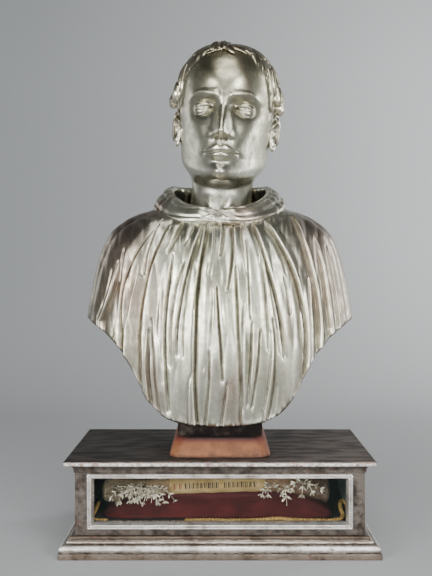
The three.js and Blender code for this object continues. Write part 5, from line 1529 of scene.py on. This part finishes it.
def dress_relic():
    """The cushion with its cords, the bone with its label and sprigs, with their finishes."""
    # Cushion: deep wine-red pile that catches a dull pink sheen where it turns away
    velvet = matt("silk_velvet", [(0.3, "#270b0b"), (0.5, "#381110"), (0.7, "#471918")], 35, 0.95, 1.2, 0.15,
                  Specular_IOR_Level=0.15, Sheen_Weight=0.7, Sheen_Roughness=0.45, Sheen_Tint="#8c4a4c")
    # Cords: tarnished gilt thread, dark between the strands
    gold = matt("gilt_thread_cord", [(0.3, "#62491f"), (0.5, "#9c7d41"), (0.7, "#cdb06d")], 3, 0.45, 0.8, 0.15,
                Metallic=0.4)
    # Label: browned rag paper; its strokes: brown-black ink, faded red ink and pale ruled lines
    paper = matt("aged_rag_paper", [(0.3, "#755d38"), (0.5, "#95804f"), (0.7, "#a89268")], 30, 0.85, 1, 0.05)
    ink = matt("iron_gall_ink", [(0.3, "#120c09"), (0.7, "#241a14")], 5, 0.8, 1, 0.02)
    faded = matt("faded_red_ink", [(0.3, "#6d3428"), (0.7, "#834636")], 5, 0.8, 1, 0.02)
    rule = matt("pale_brown_rule", [(0.3, "#8f7a5a"), (0.7, "#9c8868")], 5, 0.85, 1, 0.02)
    # Sprigs: thin silver foil, white where it catches the light, yellowish where it is tarnished
    foil = matt("silver_foil_leaves", [(0.36, "#6f684f"), (0.5, "#bdb59d"), (0.64, "#f7f2e4")], 4, 0.32, 2, 0.15,
                Metallic=0.45)
    cushion_piece(velvet)
    cord_piece("cushion_cord_front", FRONT_CORD, gold)
    cord_piece("cushion_cord_left", LEFT_CORD, gold)
    bone_piece(aged_bone())
    label_pieces(paper, ink, faded, rule)
    for number, (name, row) in enumerate(SPRIGS.items()):
        sprig_piece(name, *row, foil, number * 0.31)


# ---------------------------------------------------------------- studio
PAPER_BEND, PAPER_TOP = 1300.0, 3400.0
PAPER_BEHIND, PAPER_BEFORE, PAPER_ASIDE = 2150, 3600, 3200


def studio():
    """Paper all round: a flat floor that curves up on every side, closer behind than in front."""
    turn = np.linspace(0, FULL_TURN, 97)[:-1]
    deep = np.where(np.cos(turn) > 0, PAPER_BEHIND, PAPER_BEFORE)
    flat = np.hypot(PAPER_ASIDE * np.sin(turn), deep * np.cos(turn)) - PAPER_BEND
    lift = np.radians(np.linspace(0, 90, 20))
    reach = [np.linspace(0.05, 1, 8)[:, None] * flat, flat + PAPER_BEND * np.sin(lift[1:, None]), [flat + PAPER_BEND]]
    reach = np.concatenate(reach)
    height = np.concatenate([np.zeros(8), PAPER_BEND * (1 - np.cos(lift[1:])), [PAPER_TOP]])[:, None] + 0 * reach
    grid = np.stack([reach * np.sin(turn), reach * np.cos(turn), height], -1)
    make_piece("studio_sheet", lofted(grid, first_pole=[0, 0, 0]), [backdrop()], closed=False)


# Lamps: place and aim in metres, width and height, watts
SOFTBOXES = {
    "softbox_right": ((1.35, -1.8, 0.6), (0, 0, 0.4), (0.9, 1.3), 55),
    "softbox_left": ((-1.5, -1.7, 0.36), (0, 0, 0.33), (1.1, 1.2), 80),
    "softbox_by_camera": ((0.1, -2.3, 0.15), (0, 0, 0.35), (1.4, 0.5), 16),
    "softbox_top": ((0.0, -0.5, 1.8), (0, -0.05, 0.5), (0.7, 0.5), 6),
    "softbox_overhead": ((0.15, -1.3, 1.6), (0, -0.1, 0.5), (1.4, 0.8), 19),
    "backdrop_light": ((2.0, 0.9, 0.9), (0.5, 2.1, 0.6), (0.8, 1.4), 43),
    "softbox_behind": ((-1.7, 1.3, 0.9), (0, 0, 0.4), (0.8, 1.0), 5),
}
# Camera worked out from the lid's edges: place in metres, lens and sensor height in mm, shift in shares
CAMERA_PLACE = (0, -1.265, 0.4284)
LENS, SENSOR = 48.94, 36
CAMERA_SHIFT = -0.0069, -0.0365


def lights():
    """Rectangular lamps that face their aim, and a weak even sky."""
    for name, (place, target, size, power) in SOFTBOXES.items():
        data = bpy.data.lights.new(name, "AREA")
        data.shape = "RECTANGLE"
        data.size, data.size_y = size
        data.energy = power
        lamp = bpy.data.objects.new(name, data)
        lamp.location = place
        lamp.rotation_euler = (Vector(target) - Vector(place)).to_track_quat("-Z", "Y").to_euler()
        bpy.context.scene.collection.objects.link(lamp)
    world = bpy.data.worlds.new("studio")
    world.use_nodes = True
    bpy.context.scene.world = world
    join(world.node_tree.nodes["Background"], {"Color": "#b9bcc0", "Strength": 0.13})


def level_camera():
    """A camera that looks straight back along +Y, its frame shifted instead of tilted."""
    lens = bpy.data.cameras.new("camera")
    lens.sensor_fit = "VERTICAL"
    lens.sensor_height = SENSOR
    lens.lens = LENS
    lens.shift_x, lens.shift_y = CAMERA_SHIFT
    camera = bpy.data.objects.new("camera", lens)
    camera.location = CAMERA_PLACE
    camera.rotation_euler = (math.pi / 2, 0, 0)
    bpy.context.scene.collection.objects.link(camera)
    bpy.context.scene.camera = camera


# Raw wood under the cloak: dark brown with a lighter, dry grain
RAW_WOOD = matt("dark_aged_wood", [(0.3, "#1d1512"), (0.5, "#34261f"), (0.7, "#4a3a30")], 30, 0.7, 3, 0.3)
carved_bust(silver_leaf(), RAW_WOOD)
dress_case()
dress_relic()
studio()
lights()
level_camera()
bpy.context.view_layer.update()
